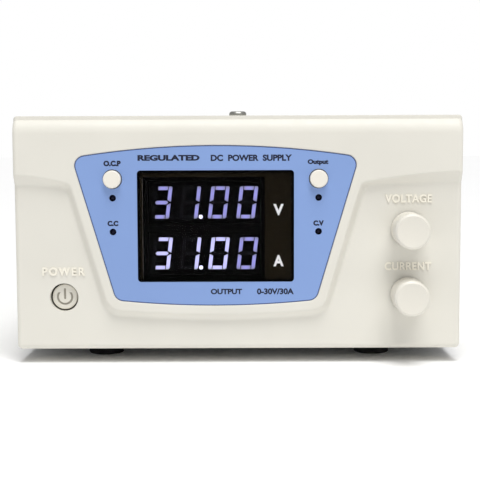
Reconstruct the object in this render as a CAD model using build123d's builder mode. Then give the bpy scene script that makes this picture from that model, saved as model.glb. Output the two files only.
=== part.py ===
"""Bench DC power supply: a moulded front bezel with a tinted display window, a steel case with
its rear output terminals, and the switching supply inside. Millimetres, +Z up, front towards -Y.
The origin is the centre of the footprint, on the surface that the feet stand on."""

import os
from math import cos, hypot, radians, sin, tan

from build123d import *

os.makedirs("parts", exist_ok=True)

# ---------------------------------------------------------------- driving dimensions
case_width = 200.0
case_height = 105.0  # bezel, without the feet
case_depth = 280.0  # front plane of the bezel to the outside of the rear panel
foot_height = 6.5
foot_diameter = 17.0
foot_seat = 4.2  # height of the screw head's seat
foot_taper = 0.4
foot_round = 0.6
foot_spacing = 126.0
front_foot_depth = 32.0  # foot axis behind the front plane
rear_foot_inset = 30.0  # foot axis ahead of the rear panel

# bezel
bezel_depth = 24.0
skirt_length = 6.0  # the part of the bezel that slips inside the steel case
case_wall = 3.0
face_wall = 2.5
island_wall = 3.6
pocket_depth = 3.0  # how far the lowered face lies behind the front plane
top_round = 8.0
bottom_round = 2.5
side_round = 2.0
side_clear = 2.5  # past the rounded side edges

# sheet metal
sheet = 1.0
shell_inset = 0.4  # the steel case is this much smaller than the bezel on each side
sheet_gap = 0.15
flange_width = 14.0

# badge: the blue overlay and the raised island around it
badge_x = -9.9
badge_top = 86.6
badge_bottom = 22.8
badge_half_top = 63.7
badge_half_bottom = 44.8
badge_top_bulge = 5.2
badge_bottom_bulge = 2.4
badge_corner = 4.5
badge_recess = 0.6
recess_round = 0.5
overlay_thickness = 0.4
island_crest = 4.2  # flat rim of the island outside the badge
island_root = 7.3  # where its sloped wall meets the lowered face
island_soften = 1.5
island_cove = 2.0
swoop_root_left = 73.5  # height of the lowered faces' upper edge
swoop_root_right = 74.0
swoop_crest_left = 79.2  # height of the sloped wall's crest at the sides
swoop_crest_right = 80.3

# display
window_width = 69.7
window_height = 49.8
window_x = badge_x
window_z = 55.9
window_thickness = 1.0
window_corner = 1.5
holder_x = -15.0
holder_width = 54.8
holder_height = 46.2
module_width = 50.3
module_height = 19.0
voltage_row_z = 66.3
current_row_z = 43.4
digit_pitch = 12.8
digit_width = 8.2
digit_height = 14.4
digit_count = 4
point_diameter = 1.8
point_offset = 1.4  # of the decimal point's centre from the digit
segment_width = 1.6
segment_gap = 0.3
segment_corner = 0.5  # cut off an upright's outer end
segment_depth = 0.4
digit_slant = 7.0

# controls
small_button_diameter = 7.9
small_button_proud = 2.6
small_button_round = 0.6
small_button_travel = 0.8
small_button_z = 77.0
button_offset = 45.8  # of the two button columns from the badge's centre
upper_led_z = 68.6
lower_led_z = 53.5
led_diameter = 3.0
power_x = -78.4
power_z = 23.7
power_diameter = 11.4
power_gap = 0.65  # radial, around the cap
power_sink = 2.4  # latched cap below the lowered face
power_overtravel = 0.5
power_cap_length = 10.0
power_round = 0.5
knob_x = 76.2
voltage_knob_z = 54.2
current_knob_z = 24.8
knob_diameter = 15.6
knob_length = 15.0
knob_gap = 1.0
knob_chamfer = 0.9
knob_round = 0.7
dish_radius = 42.6  # of the knob's hollowed face
dish_depth = 0.6
shaft_grip = 7.0  # of the shaft inside the knob
shaft_diameter = 6.0
push_travel = 0.5
run_clearance = 0.05  # radial, shaft in bore
part_clearance = 0.3  # between a moving cap and its hole

# rear
post_x = (-28.0, -2.0)  # negative, positive
post_z = 32.0
post_diameter = 8.0
socket_diameter = 4.0
socket_depth = 14.0
base_thickness = 4.0
washer_thickness = 2.0
cap_length = 18.0
cap_diameter = 16.0
fan_x = 52.0
fan_z = 52.0
fan_size = 80.0
fan_depth = 25.0
fan_bore = 76.0
fan_hole_pitch = 71.5
inlet_x = -68.0
inlet_z = 30.0

# margins
overshoot = 1.0  # how far cuts run past the material
overlap = 0.5  # how far added bodies reach into the material
cut_gap = 0.1  # radial, around screws and lamps

# main board
board_thickness = 1.6
board_standoff = 6.0
board_width = 172.0
board_length = 186.0
board_front_depth = 58.0
display_board_depth = 12.0

# screws
m3 = 3.0
m4 = 4.0

# ---------------------------------------------------------------- placement
knob_reach = knob_length + knob_gap - pocket_depth
post_reach = base_thickness + washer_thickness + cap_length
front = knob_reach - (knob_reach + case_depth + post_reach) / 2
rear = front + case_depth
bottom = foot_height
top = bottom + case_height
shell_front = front + bezel_depth - skirt_length
panel_inner = rear - sheet
shell_bottom = bottom + shell_inset
shell_half = case_width / 2 - shell_inset
floor_z = shell_bottom + sheet
board_z = floor_z + board_standoff
deck_z = board_z + board_thickness


def face(depth):
    """A sketch plane facing the user, at a depth behind the bezel's front plane. Its y is world Z."""
    return Plane.XZ.offset(-(front + depth))


def rear_face(distance):
    """A sketch plane facing forwards, at a distance behind the rear panel's outside."""
    return Plane.XZ.offset(-(rear + distance))


def level(z):
    """A horizontal sketch plane."""
    return Plane.XY.offset(z)


def height(h):
    """World Z of a height above the bezel's bottom edge."""
    return bottom + h


def save(piece, name):
    """Labels a finished piece and writes its STEP file."""
    piece.part.label = name
    export_step(piece.part, f"parts/{name}.step")


# ---------------------------------------------------------------- outlines
def badge_outline(grow=0.0):
    """The badge's face: two slanted sides and two shallow arcs, with rounded corners."""
    with BuildSketch() as outline:
        with BuildLine():
            top_left = (badge_x - badge_half_top, height(badge_top))
            top_right = (badge_x + badge_half_top, height(badge_top))
            low_right = (badge_x + badge_half_bottom, height(badge_bottom))
            low_left = (badge_x - badge_half_bottom, height(badge_bottom))
            ThreePointArc(top_left, (badge_x, height(badge_top + badge_top_bulge)), top_right)
            Line(top_right, low_right)
            ThreePointArc(low_right, (badge_x, height(badge_bottom - badge_bottom_bulge)), low_left)
            Line(low_left, top_left)
        make_face()
        fillet(outline.vertices(), badge_corner)
        if grow:
            offset(amount=grow, kind=Kind.ARC)
    return outline.sketch


def raised_outline(grow, swoop_left, swoop_right, edge_left, edge_right, corner, inner_corner):
    """Outline of the raised face: the top band and the island that hangs from it. swoop_left and
    swoop_right are the heights where it turns into the island, edge_left and edge_right at the sides."""
    slope = (badge_half_top - badge_half_bottom) / (badge_top - badge_bottom)
    spread = grow * hypot(1, slope)
    low = badge_bottom - grow
    low_half = badge_half_bottom - grow * slope + spread
    reach = case_width / 2 + 2

    def half_at(h):
        return badge_half_bottom + slope * (h - badge_bottom) + spread

    turn_left = (badge_x - half_at(swoop_left), height(swoop_left))
    turn_right = (badge_x + half_at(swoop_right), height(swoop_right))
    side_left = (-reach, height(edge_left))
    side_right = (reach, height(edge_right))
    bow = 0.21  # how far the swoop bows above its chord, as a share of its rise
    least_bow = 0.05  # so that an arc that hardly rises is still an arc
    mid_left = (
        (turn_left[0] + side_left[0]) / 2,
        (turn_left[1] + side_left[1]) / 2 + bow * (edge_left - swoop_left) + least_bow,
    )
    mid_right = (
        (turn_right[0] + side_right[0]) / 2,
        (turn_right[1] + side_right[1]) / 2 + bow * (edge_right - swoop_right) + least_bow,
    )
    with BuildSketch() as outline:
        with BuildLine():
            ThreePointArc(side_left, mid_left, turn_left)
            Line(turn_left, (badge_x - low_half, height(low)))
            ThreePointArc(
                (badge_x - low_half, height(low)),
                (badge_x, height(low - badge_bottom_bulge)),
                (badge_x + low_half, height(low)),
            )
            Line((badge_x + low_half, height(low)), turn_right)
            ThreePointArc(turn_right, mid_right, side_right)
            Line(side_right, (reach, top + 2))
            Line((reach, top + 2), (-reach, top + 2))
            Line((-reach, top + 2), side_left)
        make_face()
        lower = outline.vertices().sort_by(Axis.Y)[0:2]
        fillet(lower, corner)
        turns = outline.vertices().filter_by(
            lambda v: abs(v.Y - turn_left[1]) < 0.01 and abs(v.X - turn_left[0]) < 0.01
            or abs(v.Y - turn_right[1]) < 0.01 and abs(v.X - turn_right[0]) < 0.01
        )
        fillet(turns, inner_corner)
    return outline.sketch


def rounded_block(depth, upper_round, lower_round):
    """The bezel's outer block with its front face at a depth, its front edges and corners rounded."""
    with BuildPart() as block:
        with BuildSketch(face(depth)):
            with Locations((0, (bottom + top) / 2)):
                Rectangle(case_width, case_height)
        extrude(amount=-(bezel_depth - depth))
        front_edges = block.faces().sort_by(Axis.Y)[0].edges().filter_by(Axis.X).sort_by(Axis.Z)
        if upper_round:
            fillet(front_edges[-1], upper_round)
        front_edges = block.faces().sort_by(Axis.Y)[0].edges().filter_by(Axis.X).sort_by(Axis.Z)
        if lower_round:
            fillet(front_edges[0], lower_round)
        sides = block.faces().filter_by(Axis.X)
        rim = sides.edges().filter_by(lambda e: e.center().Y < front + bezel_depth - 0.01)
        fillet(rim, side_round)
    return block.part


def pan_screw(diameter, length):
    """A cross-recess pan-head screw. Its head stands above z 0 and its shank hangs below."""
    head_radius = diameter * 0.98
    head_height = diameter * 0.62
    recess = diameter * 0.19
    with BuildPart() as screw:
        Cylinder(diameter / 2, length, align=(Align.CENTER, Align.CENTER, Align.MAX))
        Cylinder(head_radius, head_height, align=(Align.CENTER, Align.CENTER, Align.MIN))
        fillet(screw.faces().sort_by(Axis.Z)[-1].edges(), head_height * 0.5)
        with BuildSketch(level(head_height)):
            Rectangle(head_radius * 1.05, recess)
            Rectangle(recess, head_radius * 1.05)
        extrude(amount=-head_height * 0.6, mode=Mode.SUBTRACT)
    return screw.part


def facing(point, direction):
    """A plane at a point whose z runs along a direction, for placing screws."""
    return Plane(origin=point, z_dir=direction)


# ---------------------------------------------------------------- front bezel
button_x = (badge_x - button_offset, badge_x + button_offset)
led_centres = [(x, height(z)) for x in button_x for z in (upper_led_z, lower_led_z)]
knob_centres = {"voltage": (knob_x, height(voltage_knob_z)), "current": (knob_x, height(current_knob_z))}
power_centre = (power_x, height(power_z))
skirt_step = shell_inset + sheet + sheet_gap
skirt_mid = front + bezel_depth - skirt_length / 2
top_screw_y = shell_front + m4 + 0.3  # its head clears the bezel's full-size part
lug_size = skirt_length - 1
lug_height = 7.0
lug_width = 10.0
top_lug_width = 12.0
guide_wall = 1.8
guide_length = 6.5  # of the power button's guide behind the bezel's inner face
pilot_depth = 7.0
floor_screw_x = 82.0
board_posts = [(-61.0, height(94)), (85.0, height(94)), (-44.0, height(9)), (85.0, height(9))]
post_width = 6.0
switch_ear = 13.0
switch_seat = 18.0
ear_places = [(power_x + side * switch_ear, power_centre[1]) for side in (-1, 1)]
bush_diameter = 7.0
ledge_depth = badge_recess - overlay_thickness + window_thickness
cavity_depth = pocket_depth + face_wall
button_hole = small_button_diameter + 2 * part_clearance
power_hole = power_diameter + 2 * power_gap

with BuildPart() as raised_face:
    with BuildSketch(face(pocket_depth + 0.5)):
        add(
            raised_outline(
                island_root,
                swoop_root_left,
                swoop_root_right,
                swoop_root_left + 0.01,
                swoop_root_right + 0.01,
                10.0,
                4.0,
            )
        )
    with BuildSketch(face(0)):
        add(
            raised_outline(
                island_crest,
                swoop_root_left + 1.2,
                swoop_root_right + 0.9,
                swoop_crest_left,
                swoop_crest_right,
                7.5,
                3.0,
            )
        )
    loft(ruled=True)
    add(rounded_block(0, top_round, 0), mode=Mode.INTERSECT)


def inside_face(edge):
    """Whether an edge of the raised face is on its outline, clear of the bezel's own rounded edges."""
    middle = edge @ 0.5
    clear = abs(middle.X) < case_width / 2 - side_clear
    return clear and height(bottom_round) < middle.Z < height(badge_top)


def at_root(edge):
    """Whether an edge lies where the island's wall meets the lowered face."""
    low_face = front + pocket_depth
    return inside_face(edge) and abs((edge @ 0).Y - low_face) + abs((edge @ 0.5).Y - low_face) < 0.01


with BuildPart() as front_bezel:
    add(rounded_block(pocket_depth, 0, bottom_round))
    add(raised_face.part)
    crest_edges = front_bezel.faces().sort_by(Axis.Y)[0].edges().filter_by(inside_face)
    fillet(crest_edges, island_soften)
    fillet(front_bezel.edges().filter_by(at_root), island_cove)
    # hollow behind the lowered face, and deeper behind the island
    with BuildSketch(face(cavity_depth)):
        with Locations((0, (bottom + top) / 2)):
            Rectangle(case_width - 2 * case_wall, case_height - 2 * case_wall)
    extrude(amount=-bezel_depth, mode=Mode.SUBTRACT)
    with BuildSketch(face(island_wall)):
        add(badge_outline())
    extrude(amount=-cavity_depth, mode=Mode.SUBTRACT)
    # the skirt that the steel case slips over
    with BuildSketch(face(bezel_depth - skirt_length)):
        with Locations((0, (bottom + top) / 2)):
            Rectangle(case_width + 2 * overshoot, case_height + 2 * overshoot)
            RectangleRounded(
                case_width - 2 * skirt_step, case_height - 2 * skirt_step, 1.0, mode=Mode.SUBTRACT
            )
    extrude(amount=-(skirt_length + overshoot), mode=Mode.SUBTRACT)
    # recess for the overlay, seat for the window, and the display opening behind it
    with BuildSketch(face(0)):
        add(badge_outline(sheet_gap))
    extrude(amount=-badge_recess, mode=Mode.SUBTRACT)
    recess_rim = front_bezel.faces().sort_by(Axis.Y)[0].inner_wires()[0].edges()
    fillet(recess_rim, recess_round)
    with BuildSketch(face(0)):
        with Locations((window_x, height(window_z))):
            RectangleRounded(window_width + 0.2, window_height + 0.2, window_corner + 0.1)
    extrude(amount=-ledge_depth, mode=Mode.SUBTRACT)
    holder_z = height((voltage_row_z + current_row_z) / 2)
    with BuildSketch(face(0)):
        with Locations((holder_x, holder_z)):
            Rectangle(holder_width + 0.4, holder_height + 0.4)
    extrude(amount=-(island_wall + overshoot), mode=Mode.SUBTRACT)
    # guides and bosses on the inside
    with BuildSketch(face(cavity_depth - 0.1)):
        with Locations(power_centre):
            Circle(power_hole / 2 + guide_wall)
    extrude(amount=-guide_length)
    with BuildSketch(face(cavity_depth - 0.1)):
        with Locations(*ear_places):
            Circle(post_width / 2)
    extrude(amount=-(switch_seat - cavity_depth + 0.1))
    with BuildSketch(face(island_wall - 0.4)):
        with Locations(*board_posts):
            Circle(post_width / 2)
    extrude(amount=-(display_board_depth - island_wall + 0.4))
    with Locations((0, top_screw_y + overlap, top - case_wall - lug_height / 2 + overlap)):
        Box(top_lug_width, 2 * m4, lug_height + 2 * overlap)
    with Locations(
        (-floor_screw_x, skirt_mid, bottom + case_wall + lug_height / 2 - overlap),
        (floor_screw_x, skirt_mid, bottom + case_wall + lug_height / 2 - overlap),
    ):
        Box(lug_width, lug_size, lug_height + 2 * overlap)
    # holes through the face
    with BuildSketch(face(-1)):
        with Locations(*[(x, height(small_button_z)) for x in button_x]):
            Circle(button_hole / 2)
        with Locations(*led_centres):
            Circle(led_diameter / 2 + cut_gap)
        with Locations(*knob_centres.values()):
            Circle(bush_diameter / 2 + cut_gap)
        with Locations(power_centre):
            Circle(power_hole / 2)
    extrude(amount=-(cavity_depth + guide_length + 2 * overshoot), mode=Mode.SUBTRACT)
    # pilot holes for the screws
    with BuildSketch(face(display_board_depth)):
        with Locations(*board_posts):
            Circle(m3 / 2 + run_clearance)
    extrude(amount=pilot_depth, mode=Mode.SUBTRACT)
    with BuildSketch(face(switch_seat)):
        with Locations(*ear_places):
            Circle(m3 / 2 + run_clearance)
    extrude(amount=pilot_depth + overshoot, mode=Mode.SUBTRACT)
    with Locations(facing((0, top_screw_y, top), (0, 0, 1))):
        Cylinder(
            m4 / 2 + run_clearance, lug_height + case_wall - 1,
            align=(Align.CENTER, Align.CENTER, Align.MAX), mode=Mode.SUBTRACT,
        )
    with Locations(*[facing((x, skirt_mid, bottom), (0, 0, -1)) for x in (-floor_screw_x, floor_screw_x)]):
        Cylinder(
            m3 / 2 + run_clearance, lug_height + case_wall - 1,
            align=(Align.CENTER, Align.CENTER, Align.MAX), mode=Mode.SUBTRACT,
        )

save(front_bezel, "front_bezel")

with BuildPart() as front_overlay:
    with BuildSketch(face(badge_recess)):
        add(badge_outline())
        with Locations((window_x, height(window_z))):
            RectangleRounded(
                window_width + 0.1, window_height + 0.1, window_corner + 0.05, mode=Mode.SUBTRACT
            )
        with Locations(*[(x, height(small_button_z)) for x in button_x]):
            Circle(button_hole / 2 + 0.1, mode=Mode.SUBTRACT)
        with Locations(*led_centres):
            Circle(led_diameter / 2, mode=Mode.SUBTRACT)
    extrude(amount=overlay_thickness)

save(front_overlay, "front_overlay")

with BuildPart() as display_window:
    with BuildSketch(face(ledge_depth)):
        with Locations((window_x, height(window_z))):
            RectangleRounded(window_width, window_height, window_corner)
    extrude(amount=window_thickness)

save(display_window, "display_window")

# ---------------------------------------------------------------- display
holder_front = island_wall + 0.2
holder_depth = 3.0
holder_step = 0.4
module_front = holder_front + 0.6
module_rear = display_board_depth
slant = tan(radians(digit_slant))


def leaned(points, centre):
    """Points of a digit, leaned to the right by the display's slant and moved to its centre."""
    return [(centre[0] + x + z * slant, centre[1] + z) for x, z in points]


def digit_bars(centre):
    """The outlines of a digit's seven bars. The uprights reach its corners, the top and bottom bars
    lie between them, and the middle bar is pointed."""
    half = segment_width / 2
    right = (digit_width - segment_width) / 2
    high = (digit_height - segment_width) / 2
    reach = right - half - segment_gap
    point = right - segment_gap
    upper = [(point, 0), (point - half, half), (half - point, half)]
    bars = [[(-x, -z) for x, z in upper] + upper]
    for z in (-high, high):
        bars.append([(-reach, z - half), (reach, z - half), (reach, z + half), (-reach, z + half)])
    for side in (-1, 1):
        for up in (-1, 1):
            upright = [
                (side * (right + half), up * segment_gap),
                (side * (right + half), up * (high + half - segment_corner)),
                (side * (right + half - segment_corner), up * (high + half)),
                (side * (right - half), up * (high + half)),
                (side * (right - half), up * (half + segment_gap)),
            ]
            bars.append(upright[:: side * up])  # each outline turns the same way
    return [leaned(outline, centre) for outline in bars]


def digits_outline(row_z):
    """All the bars and points of a four-digit module, as one sketch."""
    with BuildSketch() as outline:
        for place in range(digit_count):
            centre = (holder_x + (place - (digit_count - 1) / 2) * digit_pitch, height(row_z))
            for points in digit_bars(centre):
                Polygon(*points, align=None)
            point_at = (digit_width / 2 + point_offset, -(digit_height - segment_width) / 2)
            with Locations(*leaned([point_at], centre)):
                Circle(point_diameter / 2)
    return outline.sketch


with BuildPart() as display_holder:
    with BuildSketch(face(holder_front)):
        with Locations((holder_x, holder_z)):
            Rectangle(holder_width + 5, holder_height + 3)  # a flange behind the opening
        with Locations((holder_x, height(voltage_row_z)), (holder_x, height(current_row_z))):
            Rectangle(module_width + 0.2, module_height + 0.2, mode=Mode.SUBTRACT)
    extrude(amount=-holder_depth)
    with BuildSketch(face(holder_front)):
        with Locations((holder_x, holder_z)):
            Rectangle(holder_width + 6, holder_height + 4)
            Rectangle(holder_width, holder_height, mode=Mode.SUBTRACT)
    extrude(amount=-holder_step, mode=Mode.SUBTRACT)

save(display_holder, "display_holder")

for row, row_z in (("voltage", voltage_row_z), ("current", current_row_z)):
    with BuildPart() as module:
        with BuildSketch(face(module_front)):
            with Locations((holder_x, height(row_z))):
                Rectangle(module_width, module_height)
        extrude(amount=-(module_rear - module_front))
        with BuildSketch(face(module_front)):
            add(digits_outline(row_z))
        extrude(amount=-segment_depth, mode=Mode.SUBTRACT)
    save(module, f"{row}_display")

    with BuildPart() as segments:
        with BuildSketch(face(module_front + segment_depth)):
            add(digits_outline(row_z))
        extrude(amount=segment_depth)
    save(segments, f"{row}_segments")

board_left, board_right = -66.0, 90.0
board_low, board_high = height(5), height(98)
notch_right, notch_top = -52.0, height(40)  # the corner cut away around the power switch
with BuildPart() as display_board:
    with BuildSketch(face(display_board_depth)):
        with Locations((board_left, board_low)):
            Rectangle(board_right - board_left, board_high - board_low, align=Align.MIN)
            Rectangle(notch_right - board_left, notch_top - board_low, align=Align.MIN, mode=Mode.SUBTRACT)
        with Locations(*board_posts):
            Circle(m3 / 2 + cut_gap, mode=Mode.SUBTRACT)
    extrude(amount=-board_thickness)

save(display_board, "display_board")

led_flange = 1.0
with BuildPart() as indicator_leds:
    with BuildSketch(face(display_board_depth)):
        with Locations(*led_centres):
            Circle(led_diameter / 2 + 0.4)
    extrude(amount=led_flange)
    with BuildSketch(face(display_board_depth - overlap)):
        with Locations(*led_centres):
            Circle(led_diameter / 2 - cut_gap)
    extrude(amount=display_board_depth - 2 * overlap - badge_recess)
    fillet(indicator_leds.faces().filter_by(Axis.Y).group_by(Axis.Y)[0].edges(), led_diameter / 2 - 0.2)

save(indicator_leds, "indicator_leds")

# ---------------------------------------------------------------- push buttons
tact_size = 6.0
tact_height = 3.6
tact_front = display_board_depth - tact_height
stem_diameter = 3.4
stem_inside = 1.6
cap_flange = 1.0
flange_front_depth = island_wall + 0.1  # clear of the bezel's inner face
flange_rear_depth = flange_front_depth + cap_flange

with BuildPart() as tact_switches:
    with BuildSketch(face(display_board_depth)):
        with Locations(*[(x, height(small_button_z)) for x in button_x]):
            Rectangle(tact_size, tact_size)
    extrude(amount=tact_height)
    with BuildSketch(face(tact_front)):
        with Locations(*[(x, height(small_button_z)) for x in button_x]):
            Circle(stem_diameter / 2 + run_clearance)
    extrude(amount=-(stem_inside + small_button_travel + 0.2), mode=Mode.SUBTRACT)

save(tact_switches, "tact_switches")

for name, x in zip(("limit", "output"), button_x):
    with BuildPart() as button:
        with BuildSketch(face(flange_rear_depth)):
            with Locations((x, height(small_button_z))):
                Circle(small_button_diameter / 2)
        extrude(amount=flange_rear_depth + small_button_proud)
        fillet(button.faces().sort_by(Axis.Y)[0].edges(), small_button_round)
        with BuildSketch(face(flange_rear_depth)):
            with Locations((x, height(small_button_z))):
                Circle(small_button_diameter / 2 + cap_flange)
        extrude(amount=cap_flange)
        with BuildSketch(face(tact_front + stem_inside)):
            with Locations((x, height(small_button_z))):
                Circle(stem_diameter / 2)
        extrude(amount=tact_front + stem_inside - island_wall - cap_flange)
    save(button, f"{name}_button")

# ---------------------------------------------------------------- power switch
power_face = pocket_depth + power_sink
stem = 5.0
switch_front = 19.5
switch_length = 22.0
switch_body = (16.0, 18.0)
switch_ears = (2 * switch_ear + 8, 10.0)
stem_reach = 8.0  # of the plunger inside the switch
tab_pitch = 8.0
tab_size = (0.8, 4.0)
tab_length = 7.0
symbol_depth = 0.35
symbol_radius = 2.8
symbol_stroke = 0.9
symbol_gap = 2.0  # height above the cap's centre where the ring opens
symbol_bar = 5.0
with BuildPart() as power_button:
    with BuildSketch(face(power_face)):
        with Locations(power_centre):
            Circle(power_diameter / 2)
    extrude(amount=-power_cap_length)
    fillet(power_button.faces().sort_by(Axis.Y)[0].edges(), power_round)
    with BuildSketch(face(power_face)):
        with Locations(power_centre):
            Circle(symbol_radius + symbol_stroke)
            Circle(symbol_radius, mode=Mode.SUBTRACT)
        with Locations((power_x, power_centre[1] + symbol_gap + symbol_radius)):
            Rectangle(2 * symbol_radius + 2, 2 * symbol_radius, mode=Mode.SUBTRACT)
        with Locations((power_x, power_centre[1] + symbol_radius / 2)):
            SlotOverall(symbol_bar, symbol_stroke, rotation=90)
    extrude(amount=-symbol_depth, mode=Mode.SUBTRACT)

save(power_button, "power_button")

with BuildPart() as power_plunger:
    with BuildSketch(face(power_face + power_cap_length)):
        with Locations(power_centre):
            Rectangle(stem, stem)
    extrude(amount=-(switch_front - power_face - power_cap_length + stem_reach))

save(power_plunger, "power_switch_plunger")

with BuildPart() as power_switch:
    with BuildSketch(face(switch_front)):
        with Locations(power_centre):
            Rectangle(*switch_body)
    extrude(amount=-switch_length)
    with BuildSketch(face(switch_seat)):
        with Locations(power_centre):
            Rectangle(*switch_ears)
        with Locations(*ear_places):
            Circle(m3 / 2 + cut_gap, mode=Mode.SUBTRACT)
    extrude(amount=-(switch_front - switch_seat))
    with BuildSketch(face(switch_seat)):
        with Locations(power_centre):
            Rectangle(stem + 0.2, stem + 0.2)
    socket_length = switch_front - switch_seat + stem_reach + power_overtravel + overshoot
    extrude(amount=-socket_length, mode=Mode.SUBTRACT)
    with BuildSketch(face(switch_front + switch_length)):
        with Locations(power_centre):
            with GridLocations(tab_pitch, tab_pitch, 2, 2):
                Rectangle(*tab_size)
    extrude(amount=-tab_length)

save(power_switch, "power_switch")

# ---------------------------------------------------------------- encoders and knobs
encoder_size = 12.0
collar_diameter = 8.0
collar_length = 0.5
encoder_depth = display_board_depth - cavity_depth
bush_reach = 4.6  # of the threaded bush in front of the lowered face
nut_seat = 0.5
nut_height = 2.0
nut_across = 10.0
nut_washer = 11.6
rotor_diameter = 9.0
rotor_depth = cavity_depth + 2.0
rotor_thickness = 1.6
shaft_flat = 1.5
shaft_end = cavity_depth + encoder_depth - 0.6 - push_travel
cavity_diameter = 12.6
cavity_reach = bush_reach + 1.0 - knob_gap + push_travel
knob_rear = pocket_depth - knob_gap


def shaft_outline(radius, centre, margin):
    """The D section of a shaft or its hole, grown by a margin."""
    with BuildSketch() as outline:
        with Locations(centre):
            Circle(radius + margin)
        with Locations((centre[0], centre[1] + radius * 2 - shaft_flat + margin)):
            Rectangle(radius * 3, radius * 2, mode=Mode.SUBTRACT)
    return outline.sketch


for name, centre in knob_centres.items():
    with BuildPart() as encoder:
        with BuildSketch(face(cavity_depth)):
            with Locations(centre):
                Rectangle(encoder_size, encoder_size)
        extrude(amount=-encoder_depth)
        with BuildSketch(face(cavity_depth)):
            with Locations(centre):
                Circle(bush_diameter / 2)
        extrude(amount=face_wall + bush_reach)
        with BuildSketch(face(cavity_depth)):
            with Locations(centre):
                Circle(shaft_diameter / 2 + run_clearance)
        extrude(amount=display_board_depth, both=True, mode=Mode.SUBTRACT)
        with BuildSketch(face(display_board_depth)):
            with Locations(centre):
                Circle(collar_diameter / 2)
        extrude(amount=collar_length)
        with BuildSketch(face(rotor_depth - cut_gap)):
            with Locations(centre):
                Circle(rotor_diameter / 2 + run_clearance)
        extrude(amount=-(rotor_thickness + 2 * cut_gap), mode=Mode.SUBTRACT)
    save(encoder, f"{name}_encoder")

    with BuildPart() as rotor:
        with BuildSketch(face(rotor_depth)):
            with Locations(centre):
                Circle(rotor_diameter / 2)
            add(shaft_outline(shaft_diameter / 2, centre, run_clearance), mode=Mode.SUBTRACT)
        extrude(amount=-rotor_thickness)
    save(rotor, f"{name}_encoder_rotor")

    with BuildPart() as shaft:
        with BuildSketch(face(shaft_end)):
            add(shaft_outline(shaft_diameter / 2, centre, 0))
        extrude(amount=shaft_end - knob_rear + cavity_reach + shaft_grip)
    save(shaft, f"{name}_shaft")

    with BuildPart() as knob:
        with BuildSketch(face(knob_rear)):
            with Locations(centre):
                Circle(knob_diameter / 2)
        extrude(amount=knob_length)
        chamfer(knob.faces().sort_by(Axis.Y)[0].edges(), knob_chamfer)
        fillet(knob.faces().sort_by(Axis.Y)[0].edges(), knob_round)
        dish_y = front + knob_rear - knob_length + dish_depth - dish_radius
        with Locations((centre[0], dish_y, centre[1])):
            Sphere(dish_radius, mode=Mode.SUBTRACT)
        with BuildSketch(face(knob_rear)):
            with Locations(centre):
                Circle(cavity_diameter / 2)
        extrude(amount=cavity_reach, mode=Mode.SUBTRACT)
        with BuildSketch(face(knob_rear - cavity_reach)):
            add(shaft_outline(shaft_diameter / 2, centre, 0))
        extrude(amount=shaft_grip + 0.2, mode=Mode.SUBTRACT)
    save(knob, f"{name}_knob")

with BuildPart() as encoder_nuts:
    with BuildSketch(face(pocket_depth)):
        with Locations(*knob_centres.values()):
            Circle(nut_washer / 2)
            Circle(bush_diameter / 2 + run_clearance, mode=Mode.SUBTRACT)
    extrude(amount=nut_seat)
    with BuildSketch(face(pocket_depth - nut_seat)):
        with Locations(*knob_centres.values()):
            RegularPolygon(nut_across / 2, 6, major_radius=False)
            Circle(bush_diameter / 2 + run_clearance, mode=Mode.SUBTRACT)
    extrude(amount=nut_height)

save(encoder_nuts, "encoder_nuts")

# ---------------------------------------------------------------- steel case
inner_half = shell_half - sheet - sheet_gap
case_top = top - shell_inset
inner_top = case_top - sheet - sheet_gap
cover_bend = 1.5
flange_front = front + bezel_depth + 0.5
flange_mid = floor_z + (flange_width - sheet) / 2
rear_flange = 12.0
rear_flange_y = panel_inner - rear_flange / 2
rear_flange_half = 80.0
side_flange_low = height(20)
side_flange_high = height(94)
rear_screw_x = 60.0
rear_screw_z = height(80)
cover_screw_y = [front + 60, front + 150, rear - 35]
vent_width = 3.2
vent_length = 24.0
vent_pitch = 7.0
vent_row_pitch = 32.0
vent_columns = 13
vent_y = front + 96
vent_z = height(52)
foot_places = [
    (x, y)
    for x in (-foot_spacing / 2, foot_spacing / 2)
    for y in (front + front_foot_depth, rear - rear_foot_inset)
]
board_front = front + board_front_depth
board_rear = board_front + board_length
standoff_inset = 6.0
standoff_stud = 4.0
standoff_places = [
    (x, y)
    for x in (-board_width / 2 + standoff_inset, board_width / 2 - standoff_inset)
    for y in (board_front + standoff_inset, (board_front + board_rear) / 2, board_rear - standoff_inset)
]

with BuildPart() as base_tray:
    with BuildSketch(level(shell_bottom)):
        with Locations((0, (shell_front + panel_inner) / 2)):
            Rectangle(2 * inner_half, panel_inner - shell_front)
        with Locations(*foot_places):
            Circle(m4 / 2 + run_clearance, mode=Mode.SUBTRACT)
        with Locations((-floor_screw_x, skirt_mid), (floor_screw_x, skirt_mid)):
            Circle(m3 / 2 + cut_gap, mode=Mode.SUBTRACT)
        with Locations((-rear_screw_x, rear_flange_y), (rear_screw_x, rear_flange_y)):
            Circle(m3 / 2 + cut_gap, mode=Mode.SUBTRACT)
        with Locations(*standoff_places):
            Circle(standoff_stud / 2, mode=Mode.SUBTRACT)
    extrude(amount=sheet)
    with BuildSketch(level(shell_bottom)):
        with Locations((0, (flange_front + panel_inner) / 2)):
            with GridLocations(2 * inner_half - sheet, 0, 2, 1):
                Rectangle(sheet, panel_inner - flange_front)
    extrude(amount=flange_width)
    with BuildSketch(Plane.YZ.offset(-case_width)):
        with Locations(*[(y, flange_mid) for y in cover_screw_y]):
            Circle(m3 / 2 + run_clearance)
    extrude(amount=2 * case_width, mode=Mode.SUBTRACT)

save(base_tray, "base_tray")

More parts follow.
